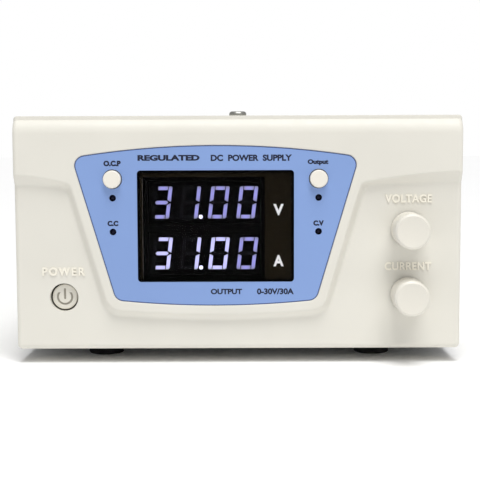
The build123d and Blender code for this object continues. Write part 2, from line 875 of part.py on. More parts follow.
with BuildPart() as top_cover:
    with BuildSketch(Plane.XZ.offset(-shell_front)):
        with BuildLine():
            middle = shell_half - sheet / 2
            FilletPolyline(
                (-middle, shell_bottom),
                (-middle, case_top - sheet / 2),
                (middle, case_top - sheet / 2),
                (middle, shell_bottom),
                radius=cover_bend,
            )
        trace(line_width=sheet)
    extrude(amount=-(rear - shell_front))
    with BuildSketch(Plane.YZ.offset(-case_width)):
        with Locations((vent_y, vent_z)):
            with GridLocations(vent_pitch, vent_row_pitch, vent_columns, 2):
                SlotOverall(vent_length, vent_width, rotation=90)
        with Locations(*[(y, flange_mid) for y in cover_screw_y], (rear_flange_y, rear_screw_z)):
            Circle(m3 / 2 + cut_gap)
    extrude(amount=2 * case_width, mode=Mode.SUBTRACT)
    with BuildSketch(level(case_top + overshoot)):
        with Locations((-rear_screw_x, rear_flange_y), (rear_screw_x, rear_flange_y)):
            Circle(m3 / 2 + cut_gap)
        with Locations((0, top_screw_y)):
            Circle(m4 / 2 + cut_gap)
    extrude(amount=-(sheet + 2 * overshoot), mode=Mode.SUBTRACT)

save(top_cover, "top_cover")

# ---------------------------------------------------------------- rear panel
fan_centre = (fan_x, height(fan_z))
fan_screw = 4.0
post_centres = [(x, height(post_z)) for x in post_x]
shoulder_diameter = 12.0
inlet_centre = (inlet_x, height(inlet_z))
inlet_body = (28.0, 33.0)
inlet_flange = (50.0, 36.0)
inlet_flange_thickness = 3.0
inlet_depth = 24.0
inlet_screw_x = 20.0
inlet_screws_at = [(inlet_x + side * inlet_screw_x, inlet_centre[1]) for side in (-1, 1)]

with BuildPart() as rear_panel:
    with BuildSketch(rear_face(-sheet)) as plate:
        with Locations((0, (shell_bottom + inner_top) / 2)):
            Rectangle(2 * inner_half, inner_top - shell_bottom)
        fillet(plate.vertices().group_by(Axis.Y)[-1], cover_bend)
        with Locations(fan_centre):
            Circle(fan_bore / 2, mode=Mode.SUBTRACT)
            with GridLocations(fan_hole_pitch, fan_hole_pitch, 2, 2):
                Circle(fan_screw / 2 + cut_gap, mode=Mode.SUBTRACT)
        with Locations(*post_centres):
            Circle(shoulder_diameter / 2 + cut_gap, mode=Mode.SUBTRACT)
        with Locations(inlet_centre):
            Rectangle(inlet_body[0] + 0.2, inlet_body[1] + 0.2, mode=Mode.SUBTRACT)
        with Locations(*inlet_screws_at):
            Circle(m3 / 2 + run_clearance, mode=Mode.SUBTRACT)
    extrude(amount=-sheet)
    with BuildSketch(rear_face(-sheet)):
        with Locations((0, floor_z + sheet / 2), (0, inner_top - sheet / 2)):
            Rectangle(2 * rear_flange_half, sheet)
        with Locations((0, (side_flange_low + side_flange_high) / 2)):
            with GridLocations(2 * inner_half - sheet, 0, 2, 1):
                Rectangle(sheet, side_flange_high - side_flange_low)
    extrude(amount=rear_flange)
    with BuildSketch(level(0)):
        with Locations((-rear_screw_x, rear_flange_y), (rear_screw_x, rear_flange_y)):
            Circle(m3 / 2 + run_clearance)
    extrude(amount=case_top, mode=Mode.SUBTRACT)
    with BuildSketch(Plane.YZ.offset(-case_width)):
        with Locations((rear_flange_y, rear_screw_z)):
            Circle(m3 / 2 + run_clearance)
    extrude(amount=2 * case_width, mode=Mode.SUBTRACT)

save(rear_panel, "rear_panel")

# ---------------------------------------------------------------- feet and screws
m3_short = pan_screw(m3, 5)
m3_long = pan_screw(m3, 8)
m4_short = pan_screw(m4, 8)
m4_long = pan_screw(m4, 12)

with BuildPart() as rubber_feet:
    with Locations(*[(x, y, 0) for x, y in foot_places]):
        Cone(
            foot_diameter / 2 - foot_taper, foot_diameter / 2, shell_bottom,
            align=(Align.CENTER, Align.CENTER, Align.MIN),
        )
    fillet(rubber_feet.faces().filter_by(Axis.Z).group_by(Axis.Z)[0].edges(), foot_round)
    with BuildSketch(level(0)):
        with Locations(*foot_places):
            Circle(m4 + 0.4)
    extrude(amount=foot_seat, mode=Mode.SUBTRACT)
    with BuildSketch(level(0)):
        with Locations(*foot_places):
            Circle(m4 / 2 + cut_gap)
    extrude(amount=shell_bottom, mode=Mode.SUBTRACT)

save(rubber_feet, "rubber_feet")

with BuildPart() as foot_screws:
    with Locations(*[facing((x, y, foot_seat), (0, 0, -1)) for x, y in foot_places]):
        add(m4_short)

save(foot_screws, "foot_screws")

with BuildPart() as case_screws:
    for side in (-1, 1):
        with Locations(*[facing((side * shell_half, y, flange_mid), (side, 0, 0)) for y in cover_screw_y]):
            add(m3_short)
        with Locations(facing((side * shell_half, rear_flange_y, rear_screw_z), (side, 0, 0))):
            add(m3_short)
        with Locations(
            facing((side * rear_screw_x, rear_flange_y, case_top), (0, 0, 1)),
            facing((side * rear_screw_x, rear_flange_y, shell_bottom), (0, 0, -1)),
        ):
            add(m3_short)
        with Locations(facing((side * floor_screw_x, skirt_mid, shell_bottom), (0, 0, -1))):
            add(m3_long)
    with Locations(facing((0, top_screw_y, case_top), (0, 0, 1))):
        add(m4_short)

save(case_screws, "case_screws")

with BuildPart() as inner_screws:
    board_rear_y = front + display_board_depth + board_thickness
    with Locations(*[facing((x, board_rear_y, z), (0, 1, 0)) for x, z in board_posts]):
        add(m3_long)
    with Locations(
        facing((power_x - switch_ear, front + switch_front, power_centre[1]), (0, 1, 0)),
        facing((power_x + switch_ear, front + switch_front, power_centre[1]), (0, 1, 0)),
    ):
        add(m3_long)
    with Locations(*[facing((x, y, deck_z), (0, 0, 1)) for x, y in standoff_places]):
        add(m3_short)

save(inner_screws, "inner_screws")

# ---------------------------------------------------------------- fan
hub_diameter = 36.0
hub_wall = 2.0
hub_face = 1.0  # of the hub behind the fan's inner face
spider_thickness = 3.5
spider_width = 3.0
frame_corner = 5.0
bearing_length = 19.0
bearing_diameter = 8.0
fan_shaft = 3.0
blade_tip = fan_bore / 2 - 1.2
blade_thickness = 1.6
blade_count = 7
blade_curve = ((-10.0, 6.5), (1.5, 1.5), (9.0, -8.5))  # across and along the shaft, from its middle
ring_radii = (13, 21, 29, 37)  # of the guard's wires
eye_thickness = 1.8
guard_wire = 1.8
guard_arm = 1.7

with BuildPart() as fan_frame:
    with BuildSketch(rear_face(-sheet)):
        with Locations(fan_centre):
            RectangleRounded(fan_size, fan_size, frame_corner)
            Circle(fan_bore / 2, mode=Mode.SUBTRACT)
            with GridLocations(fan_hole_pitch, fan_hole_pitch, 2, 2):
                Circle(fan_screw / 2 + run_clearance, mode=Mode.SUBTRACT)
    extrude(amount=fan_depth)
    with BuildSketch(rear_face(-sheet)):
        with Locations(fan_centre):
            Circle(hub_diameter / 2)
            Rectangle(fan_bore + overshoot, spider_width, rotation=45)
            Rectangle(fan_bore + overshoot, spider_width, rotation=135)
    extrude(amount=spider_thickness)
    with BuildSketch(rear_face(-sheet)):
        with Locations(fan_centre):
            Circle(bearing_diameter / 2)
    extrude(amount=bearing_length)
    with BuildSketch(rear_face(-sheet - 2)):
        with Locations(fan_centre):
            Circle(fan_shaft / 2 + run_clearance)
    extrude(amount=fan_depth, mode=Mode.SUBTRACT)

save(fan_frame, "fan_frame")

fan_mid = panel_inner - fan_depth / 2
with BuildPart() as blade:
    with BuildSketch(level(fan_centre[1] + hub_diameter / 2 - 1)):
        with BuildLine():
            ThreePointArc(
                *[(fan_x + across, fan_mid + along) for across, along in blade_curve],
            )
        trace(line_width=blade_thickness)
    extrude(amount=fan_bore / 2)

with BuildPart() as fan_rotor:
    for index in range(blade_count):
        add(blade.part.rotate(Axis((fan_x, 0, fan_centre[1]), (0, 1, 0)), 360 / blade_count * index))
    with Locations((fan_x, fan_mid, fan_centre[1])):
        Cylinder(blade_tip, fan_depth, rotation=(90, 0, 0), mode=Mode.INTERSECT)
    with BuildSketch(rear_face(-sheet - spider_thickness - hub_face)):
        with Locations(fan_centre):
            Circle(hub_diameter / 2)
    extrude(amount=fan_depth - spider_thickness - 2 * hub_face)
    fillet(fan_rotor.faces().sort_by(Axis.Y)[0].edges(), 1.5)
    with BuildSketch(rear_face(-sheet - spider_thickness - hub_face)):
        with Locations(fan_centre):
            Circle(hub_diameter / 2 - hub_wall)
    extrude(amount=fan_depth - spider_thickness - 2 * hub_face - hub_wall, mode=Mode.SUBTRACT)
    with BuildSketch(rear_face(-sheet - spider_thickness - hub_face)):
        with Locations(fan_centre):
            Circle(fan_shaft / 2)
    extrude(amount=fan_depth - spider_thickness - 2 * hub_face - 1)

save(fan_rotor, "fan_rotor")

with BuildPart() as fan_guard:
    eyes = GridLocations(fan_hole_pitch, fan_hole_pitch, 2, 2).local_locations
    eye_places = [(fan_x + eye.position.X, fan_centre[1] + eye.position.Y) for eye in eyes]
    with BuildSketch(rear_face(0)):
        with Locations(*eye_places):
            Circle(fan_screw)
    extrude(amount=-eye_thickness)
    with Locations((fan_x, rear + eye_thickness / 2, fan_centre[1])):
        for angle in (45, 135):
            Cylinder(guard_arm / 2, fan_hole_pitch * 2**0.5, rotation=(0, angle, 0))
    with Locations((fan_x, rear + eye_thickness / 2 + guard_wire * 0.8, fan_centre[1])):
        for radius in ring_radii:
            Torus(radius, guard_wire / 2, rotation=(90, 0, 0))
    with BuildSketch(rear_face(-overshoot)):
        with Locations(*eye_places):
            Circle(fan_screw / 2 + cut_gap)
    extrude(amount=-(eye_thickness + 3 * overshoot), mode=Mode.SUBTRACT)

save(fan_guard, "fan_guard")

with BuildPart() as fan_screws:
    with Locations(*[facing((x, rear + eye_thickness, z), (0, 1, 0)) for x, z in eye_places]):
        add(m4_long)

save(fan_screws, "fan_screws")

# ---------------------------------------------------------------- mains inlet
socket_size = (24.4, 16.2)
socket_cut = 4.0
socket_in = 15.5
socket_z = inlet_centre[1] + 6.5
drawer_size = (22.0, 8.0)
drawer_z = inlet_centre[1] - 10.0
drawer_length = 20.0
drawer_gap = 0.2
drawer_grip = (12.0, 2.4)
grip_height = 1.2
fuse_from_end = 6.0  # of the fuse's axis from the drawer's inner end
fuse_diameter = 5.0
fuse_length = 20.0
blade_size = (2.0, 4.0)
pin_tail = 9.0
pin_short = 1.5  # of the pins' ends inside the rim
pin_places = [(inlet_x - 7, socket_z - 2), (inlet_x + 7, socket_z - 2), (inlet_x, socket_z + 2)]

with BuildPart() as mains_inlet:
    with BuildSketch(rear_face(0)):
        with Locations(inlet_centre):
            RectangleRounded(*inlet_flange, 4)
        with Locations(*inlet_screws_at):
            Circle(m3 / 2 + cut_gap, mode=Mode.SUBTRACT)
    extrude(amount=-inlet_flange_thickness)
    with BuildSketch(rear_face(0)):
        with Locations(inlet_centre):
            Rectangle(*inlet_body)
    extrude(amount=inlet_depth)
    with BuildSketch(rear_face(inlet_flange_thickness)) as socket:
        with Locations((inlet_x, socket_z)):
            Rectangle(*socket_size)
        chamfer(socket.vertices().group_by(Axis.Y)[-1], socket_cut)
    extrude(amount=socket_in, mode=Mode.SUBTRACT)
    with BuildSketch(rear_face(inlet_flange_thickness)):
        with Locations((inlet_x, drawer_z)):
            Rectangle(drawer_size[0] + 2 * drawer_gap, drawer_size[1] + 2 * drawer_gap)
    extrude(amount=drawer_length + 1, mode=Mode.SUBTRACT)
    with BuildSketch(rear_face(-inlet_depth - 1)):
        with Locations(*pin_places):
            Rectangle(*blade_size)
    extrude(amount=-(inlet_depth + 2), mode=Mode.SUBTRACT)

save(mains_inlet, "mains_inlet")

with BuildPart() as inlet_pins:
    with BuildSketch(rear_face(inlet_flange_thickness - pin_short)):
        with Locations(*pin_places):
            Rectangle(*blade_size)
    extrude(amount=inlet_flange_thickness - pin_short + inlet_depth + pin_tail)

save(inlet_pins, "inlet_pins")

fuse_y = rear + inlet_flange_thickness - drawer_length + fuse_from_end
with BuildPart() as fuse_drawer:
    with BuildSketch(rear_face(inlet_flange_thickness)):
        with Locations((inlet_x, drawer_z)):
            Rectangle(*drawer_size)
    extrude(amount=drawer_length)
    with BuildSketch(rear_face(inlet_flange_thickness)):
        with Locations((inlet_x, drawer_z)):
            SlotOverall(*drawer_grip)
    extrude(amount=-grip_height)
    with BuildSketch(level(drawer_z - fuse_diameter / 2 - 0.3)):
        with Locations((inlet_x, fuse_y)):
            Rectangle(fuse_length + 0.4, fuse_diameter + 0.4)
    extrude(amount=drawer_size[1], mode=Mode.SUBTRACT)

save(fuse_drawer, "fuse_drawer")

with BuildPart() as fuse:
    with Locations((inlet_x, fuse_y, drawer_z)):
        Cylinder(fuse_diameter / 2, fuse_length, rotation=(0, 90, 0))

save(fuse, "fuse")

with BuildPart() as inlet_screws:
    with Locations(*[facing((x, rear + inlet_flange_thickness, z), (0, 1, 0)) for x, z in inlet_screws_at]):
        add(m3_long)

save(inlet_screws, "inlet_screws")

# ---------------------------------------------------------------- output terminals
base_diameter = 20.0
inner_ring = 3.0
nut_thickness = 5.0
nut_size = 13.0
bar_thickness = 2.0
bar_width = 14.0
post_short = 1.5  # of the post's end inside the cap
washer_diameter = 15.0
grip_count = 12
grip_radius = 1.2  # of the grooves around a cap
post_margin = 9.0  # of a busbar above its post
post_end = base_thickness + washer_thickness + cap_length - post_short
bar_front = sheet + inner_ring + nut_thickness
post_inner = bar_front + bar_thickness + nut_thickness + 1.5

with BuildPart() as terminal_posts:
    with BuildSketch(rear_face(post_end)):
        with Locations(*post_centres):
            Circle(post_diameter / 2)
    extrude(amount=post_end + post_inner)
    with BuildSketch(rear_face(post_end)):
        with Locations(*post_centres):
            Circle(socket_diameter / 2)
    extrude(amount=socket_depth, mode=Mode.SUBTRACT)

save(terminal_posts, "terminal_posts")

with BuildPart() as post_insulators:
    with BuildSketch(rear_face(0)):
        with Locations(*post_centres):
            Circle(base_diameter / 2)
    extrude(amount=-base_thickness)
    fillet(post_insulators.faces().sort_by(Axis.Y)[-1].outer_wire().edges(), 0.8)
    with BuildSketch(rear_face(0)):
        with Locations(*post_centres):
            Circle(shoulder_diameter / 2)
    extrude(amount=sheet)
    with BuildSketch(rear_face(-sheet)):
        with Locations(*post_centres):
            Circle(base_diameter / 2 - 1)
    extrude(amount=inner_ring)
    with BuildSketch(rear_face(base_thickness)):
        with Locations(*post_centres):
            Circle(post_diameter / 2 + run_clearance)
    extrude(amount=base_thickness + sheet + inner_ring, mode=Mode.SUBTRACT)

save(post_insulators, "post_insulators")

with BuildPart() as post_nuts:
    for seat in (sheet + inner_ring, bar_front + bar_thickness):
        with BuildSketch(rear_face(-seat)):
            with Locations(*post_centres):
                RegularPolygon(nut_size / 2, 6, major_radius=False)
                Circle(post_diameter / 2 + run_clearance, mode=Mode.SUBTRACT)
        extrude(amount=nut_thickness)

save(post_nuts, "post_nuts")

bar_top = height(post_z) + post_margin
bar_reach = rear - bar_front - board_rear + bar_width
with BuildPart() as busbars:
    with BuildSketch(rear_face(-bar_front)):
        with Locations(*[(x, (deck_z + bar_top) / 2) for x in post_x]):
            Rectangle(bar_width, bar_top - deck_z)
        with Locations(*post_centres):
            Circle(post_diameter / 2 + run_clearance, mode=Mode.SUBTRACT)
    extrude(amount=bar_thickness)
    with BuildSketch(level(deck_z)):
        with Locations(*[(x, rear - bar_front - bar_reach / 2) for x in post_x]):
            Rectangle(bar_width, bar_reach)
    extrude(amount=bar_thickness)

save(busbars, "busbars")

for name, centre in zip(("negative", "positive"), post_centres):
    with BuildPart() as washer:
        with BuildSketch(rear_face(base_thickness)):
            with Locations(centre):
                Circle(washer_diameter / 2)
                Circle(post_diameter / 2 + run_clearance, mode=Mode.SUBTRACT)
        extrude(amount=-washer_thickness)
    save(washer, f"{name}_washer")

    with BuildPart() as cap:
        with BuildSketch(rear_face(base_thickness + washer_thickness)):
            with Locations(centre):
                Circle(cap_diameter / 2)
        extrude(amount=-cap_length)
        fillet(cap.faces().sort_by(Axis.Y)[-1].edges(), 1.2)
        with BuildSketch(rear_face(base_thickness + washer_thickness + 2)):
            with Locations(centre):
                with PolarLocations(cap_diameter / 2 + 0.7, grip_count):
                    Circle(grip_radius)
        extrude(amount=-(cap_length - 5), mode=Mode.SUBTRACT)
        with BuildSketch(rear_face(base_thickness + washer_thickness)):
            with Locations(centre):
                Circle(post_diameter / 2 + run_clearance)
        extrude(amount=-cap_length, mode=Mode.SUBTRACT)
    save(cap, f"{name}_cap")

# ---------------------------------------------------------------- main board
heatsink_length = 120.0
heatsink_height = 60.0
heatsink_base = 4.0
fin_reach = 10.0
fin_pitch = 8.0
fin_thickness = 1.6
heatsink_x = (-42.0, 22.0)
heatsink_y = board_front + 84
can_x = 64.0  # the capacitors' rows, left and right
bulk_y = (board_front + 30, board_front + 64)
output_cans_y = board_front + 62
choke_y = board_front + 132
choke_ring = 16.0
choke_wire = 8.0
winding_corner = 5.0
winding_beyond = 9.0  # of the winding before and behind its core
standoff_across = 5.5
core_width, core_height, core_depth = 44.0, 40.0, 20.0
core_leg = 15.0
core_window = (9.0, 26.0)
transformer_at = (-6.0, board_front + 60)
bulk_diameter, bulk_height = 30.0, 45.0
output_can_diameter, output_can_height = 16.0, 30.0

with BuildPart() as main_board:
    with BuildSketch(level(board_z)):
        with Locations((0, (board_front + board_rear) / 2)):
            Rectangle(board_width, board_length)
        with Locations(*standoff_places):
            Circle(m3 / 2 + cut_gap, mode=Mode.SUBTRACT)
    extrude(amount=board_thickness)

save(main_board, "main_board")

with BuildPart() as standoffs:
    with BuildSketch(level(floor_z)):
        with Locations(*standoff_places):
            RegularPolygon(standoff_across / 2, 6, major_radius=False)
    extrude(amount=board_standoff)
    with BuildSketch(level(shell_bottom)):
        with Locations(*standoff_places):
            Circle(standoff_stud / 2)
    extrude(amount=sheet)
    with BuildSketch(level(board_z)):
        with Locations(*standoff_places):
            Circle(m3 / 2 + run_clearance)
    extrude(amount=-5, mode=Mode.SUBTRACT)

save(standoffs, "standoffs")

with BuildPart() as heatsinks:
    with BuildSketch(level(deck_z)):
        with Locations(*[(x, heatsink_y) for x in heatsink_x]):
            Rectangle(heatsink_base, heatsink_length)
        fins = int(heatsink_length / fin_pitch)
        with Locations(*[(x + (heatsink_base + fin_reach) / 2, heatsink_y) for x in heatsink_x]):
            with GridLocations(0, fin_pitch, 1, fins):
                Rectangle(fin_reach, fin_thickness)
    extrude(amount=heatsink_height)

save(heatsinks, "heatsinks")

with BuildPart() as transformer_core:
    with BuildSketch(Plane.XZ.offset(-transformer_at[1])):
        with Locations((transformer_at[0], deck_z + core_height / 2)):
            Rectangle(core_width, core_height)
            with GridLocations(core_leg + core_window[0], 0, 2, 1):
                Rectangle(*core_window, mode=Mode.SUBTRACT)
    extrude(amount=core_depth / 2, both=True)

save(transformer_core, "transformer_core")

with BuildPart() as transformer_winding:
    winding_height = core_window[1] - 0.6
    with BuildSketch(level(deck_z + (core_height - winding_height) / 2)):
        with Locations(transformer_at):
            RectangleRounded(
                core_leg + 2 * core_window[0] - 0.6, core_depth + 2 * winding_beyond, winding_corner
            )
            Rectangle(core_leg + 0.2, core_depth + 0.2, mode=Mode.SUBTRACT)
    extrude(amount=winding_height)

save(transformer_winding, "transformer_winding")

with BuildPart() as bulk_capacitors:
    with BuildSketch(level(deck_z)):
        with Locations(*[(-can_x, y) for y in bulk_y]):
            Circle(bulk_diameter / 2)
    extrude(amount=bulk_height)
    fillet(bulk_capacitors.faces().filter_by(Axis.Z).group_by(Axis.Z)[-1].edges(), 1.5)

save(bulk_capacitors, "bulk_capacitors")

with BuildPart() as output_capacitors:
    with BuildSketch(level(deck_z)):
        with Locations((can_x, output_cans_y)):
            with GridLocations(0, output_can_diameter + 4, 1, 4):
                Circle(output_can_diameter / 2)
    extrude(amount=output_can_height)
    fillet(output_capacitors.faces().filter_by(Axis.Z).group_by(Axis.Z)[-1].edges(), 1.0)

save(output_capacitors, "output_capacitors")

with BuildPart() as output_choke:
    with Locations((can_x, choke_y, deck_z + choke_wire)):
        Torus(choke_ring, choke_wire)

save(output_choke, "output_choke")

# ---------------------------------------------------------------- wiring
ribbon_x = 10.0
ribbon_width = 26.0
ribbon_thickness = 1.2
ribbon_z = height(20)
ribbon_run = 14.0
ribbon_lift = 8.0
ribbon_bend = 3.0
wire_diameter = 3.0
wire_bend = 5.0
wire_channel = -(board_width / 2 + 5)
switch_tail = front + switch_front + switch_length + tab_length
inlet_tail = rear - inlet_depth - pin_tail


def wire_along(points, bend):
    """A round wire along straight runs joined by arcs."""
    with BuildPart() as run:
        with BuildLine() as route:
            FilletPolyline(*points, radius=bend)
        start = route.wires()[0]
        with BuildSketch(Plane(origin=start @ 0, z_dir=start % 0)):
            Circle(wire_diameter / 2)
        sweep(path=start)
    return run.part


with BuildPart() as ribbon_cable:
    with BuildSketch(Plane.YZ.offset(ribbon_x)):
        with BuildLine():
            FilletPolyline(
                (board_rear_y, ribbon_z),
                (board_rear_y + ribbon_run, ribbon_z),
                (board_rear_y + 2 * ribbon_run, deck_z + ribbon_lift),
                (board_front + ribbon_lift, deck_z + ribbon_lift),
                (board_front + ribbon_lift, deck_z),
                radius=ribbon_bend,
            )
        trace(line_width=ribbon_thickness)
    extrude(amount=ribbon_width)

save(ribbon_cable, "ribbon_cable")

mains_runs = [
    wire_along(
        [
            (tab_x, inlet_tail, socket_z - 2),
            (tab_x, inlet_tail - 14, socket_z - 2),
            (wire_channel, inlet_tail - 34, run_z),
            (wire_channel, switch_tail + 36, run_z),
            (power_x + side, switch_tail + 12, power_centre[1] + tab_pitch / 2),
            (power_x + side, switch_tail, power_centre[1] + tab_pitch / 2),
        ],
        wire_bend,
    )
    for tab_x, side, run_z in (
        (pin_places[0][0], -tab_pitch / 2, height(24)),
        (pin_places[1][0], tab_pitch / 2, height(30)),
    )
]
switched_runs = [
    wire_along(
        [
            (power_x + side, switch_tail, power_centre[1] - tab_pitch / 2),
            (power_x + side, board_front + 12, power_centre[1] - tab_pitch / 2),
            (power_x + side, board_front + 12, deck_z),
        ],
        wire_bend,
    )
    for side in (-tab_pitch / 2, tab_pitch / 2)
]
earth_run = wire_along(
    [
        (inlet_x, inlet_tail, socket_z + 2),
        (inlet_x, inlet_tail - 12, socket_z + 2),
        (inlet_x, inlet_tail - 12, deck_z + 12),
        (inlet_x - 8, inlet_tail + 3, deck_z + 6),
        (inlet_x - 8, inlet_tail + 3, floor_z),
    ],
    wire_bend - 1.5,
)
fan_run = wire_along(
    [
        (fan_x - fan_size / 2 + 4, panel_inner - fan_depth, height(18)),
        (fan_x - fan_size / 2 + 4, board_rear - 8, height(18)),
        (fan_x - fan_size / 2 + 4, board_rear - 8, deck_z),
    ],
    wire_bend - 1.5,
)

with BuildPart() as mains_wires:
    for run in mains_runs + switched_runs + [earth_run]:
        add(run)

save(mains_wires, "mains_wires")

with BuildPart() as fan_cable:
    add(fan_run)

save(fan_cable, "fan_cable")
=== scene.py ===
"""Looks for a bench DC power supply: moulded front with a lit display, steel case, rear and inside.

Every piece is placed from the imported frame's own boxes. Lengths are in metres.
"""

import logging
import math
from dataclasses import dataclass, field
from enum import Enum

import bmesh
import bpy
from mathutils import Matrix, Vector


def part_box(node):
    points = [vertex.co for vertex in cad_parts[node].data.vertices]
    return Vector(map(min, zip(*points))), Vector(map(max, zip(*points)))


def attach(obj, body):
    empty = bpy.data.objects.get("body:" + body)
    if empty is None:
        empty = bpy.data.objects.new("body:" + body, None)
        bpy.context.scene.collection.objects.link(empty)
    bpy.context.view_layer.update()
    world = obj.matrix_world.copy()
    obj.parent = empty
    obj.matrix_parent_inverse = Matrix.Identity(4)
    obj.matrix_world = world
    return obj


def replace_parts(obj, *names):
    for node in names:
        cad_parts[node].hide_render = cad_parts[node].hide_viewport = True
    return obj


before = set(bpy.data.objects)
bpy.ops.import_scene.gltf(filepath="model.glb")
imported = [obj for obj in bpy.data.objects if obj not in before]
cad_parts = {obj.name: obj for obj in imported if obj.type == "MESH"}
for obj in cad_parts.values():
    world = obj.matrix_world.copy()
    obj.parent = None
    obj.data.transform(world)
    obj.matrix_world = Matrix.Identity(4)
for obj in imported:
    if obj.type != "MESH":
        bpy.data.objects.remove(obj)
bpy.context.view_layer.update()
log = logging.getLogger("power_supply")

MM = 0.001
ROOT = "root"
Colour = tuple[float, float, float]
Point = tuple[float, float, float]
Flat = tuple[float, float]
Socket = bpy.types.NodeSocket
Material = bpy.types.Material
Mesh = bpy.types.Mesh

MERGE = 1e-6  # vertices closer than this are one
BANDS_PER_METRE = 0.314  # a wave texture's scale for bands one metre apart


def srgb(red: int, green: int, blue: int) -> Colour:
    """Turns a display colour of 0 to 255 a channel into scene-linear values.

    Args:
        red: Red, 0 to 255.
        green: Green, 0 to 255.
        blue: Blue, 0 to 255.

    Returns:
        The linear colour.
    """
    def linear(value: int) -> float:
        """Turns one channel into its linear value."""
        share = value / 255
        return share / 12.92 if share <= 0.04045 else ((share + 0.055) / 1.055) ** 2.4

    return linear(red), linear(green), linear(blue)


def shaded(colour: Colour, factor: float) -> Colour:
    """Returns a colour multiplied by a factor."""
    return tuple(min(1.0, channel * factor) for channel in colour)


def look_name(name: str) -> str:
    """Returns a finish's material name, kept apart from the names of the frame's own materials."""
    return f"look_{name}"


class NodeMaker:
    """A node tree, with short methods for adding nodes and links."""

    tree: bpy.types.NodeTree

    def add(self, kind: str, **settings: object) -> bpy.types.Node:
        """Adds a node.

        Args:
            kind: The node's type.
            settings: Its properties.

        Returns:
            The node.
        """
        node = self.tree.nodes.new(kind)
        for key, value in settings.items():
            setattr(node, key, value)
        return node

    def link(self, source: Socket, target: Socket) -> None:
        """Links an output to an input."""
        self.tree.links.new(source, target)


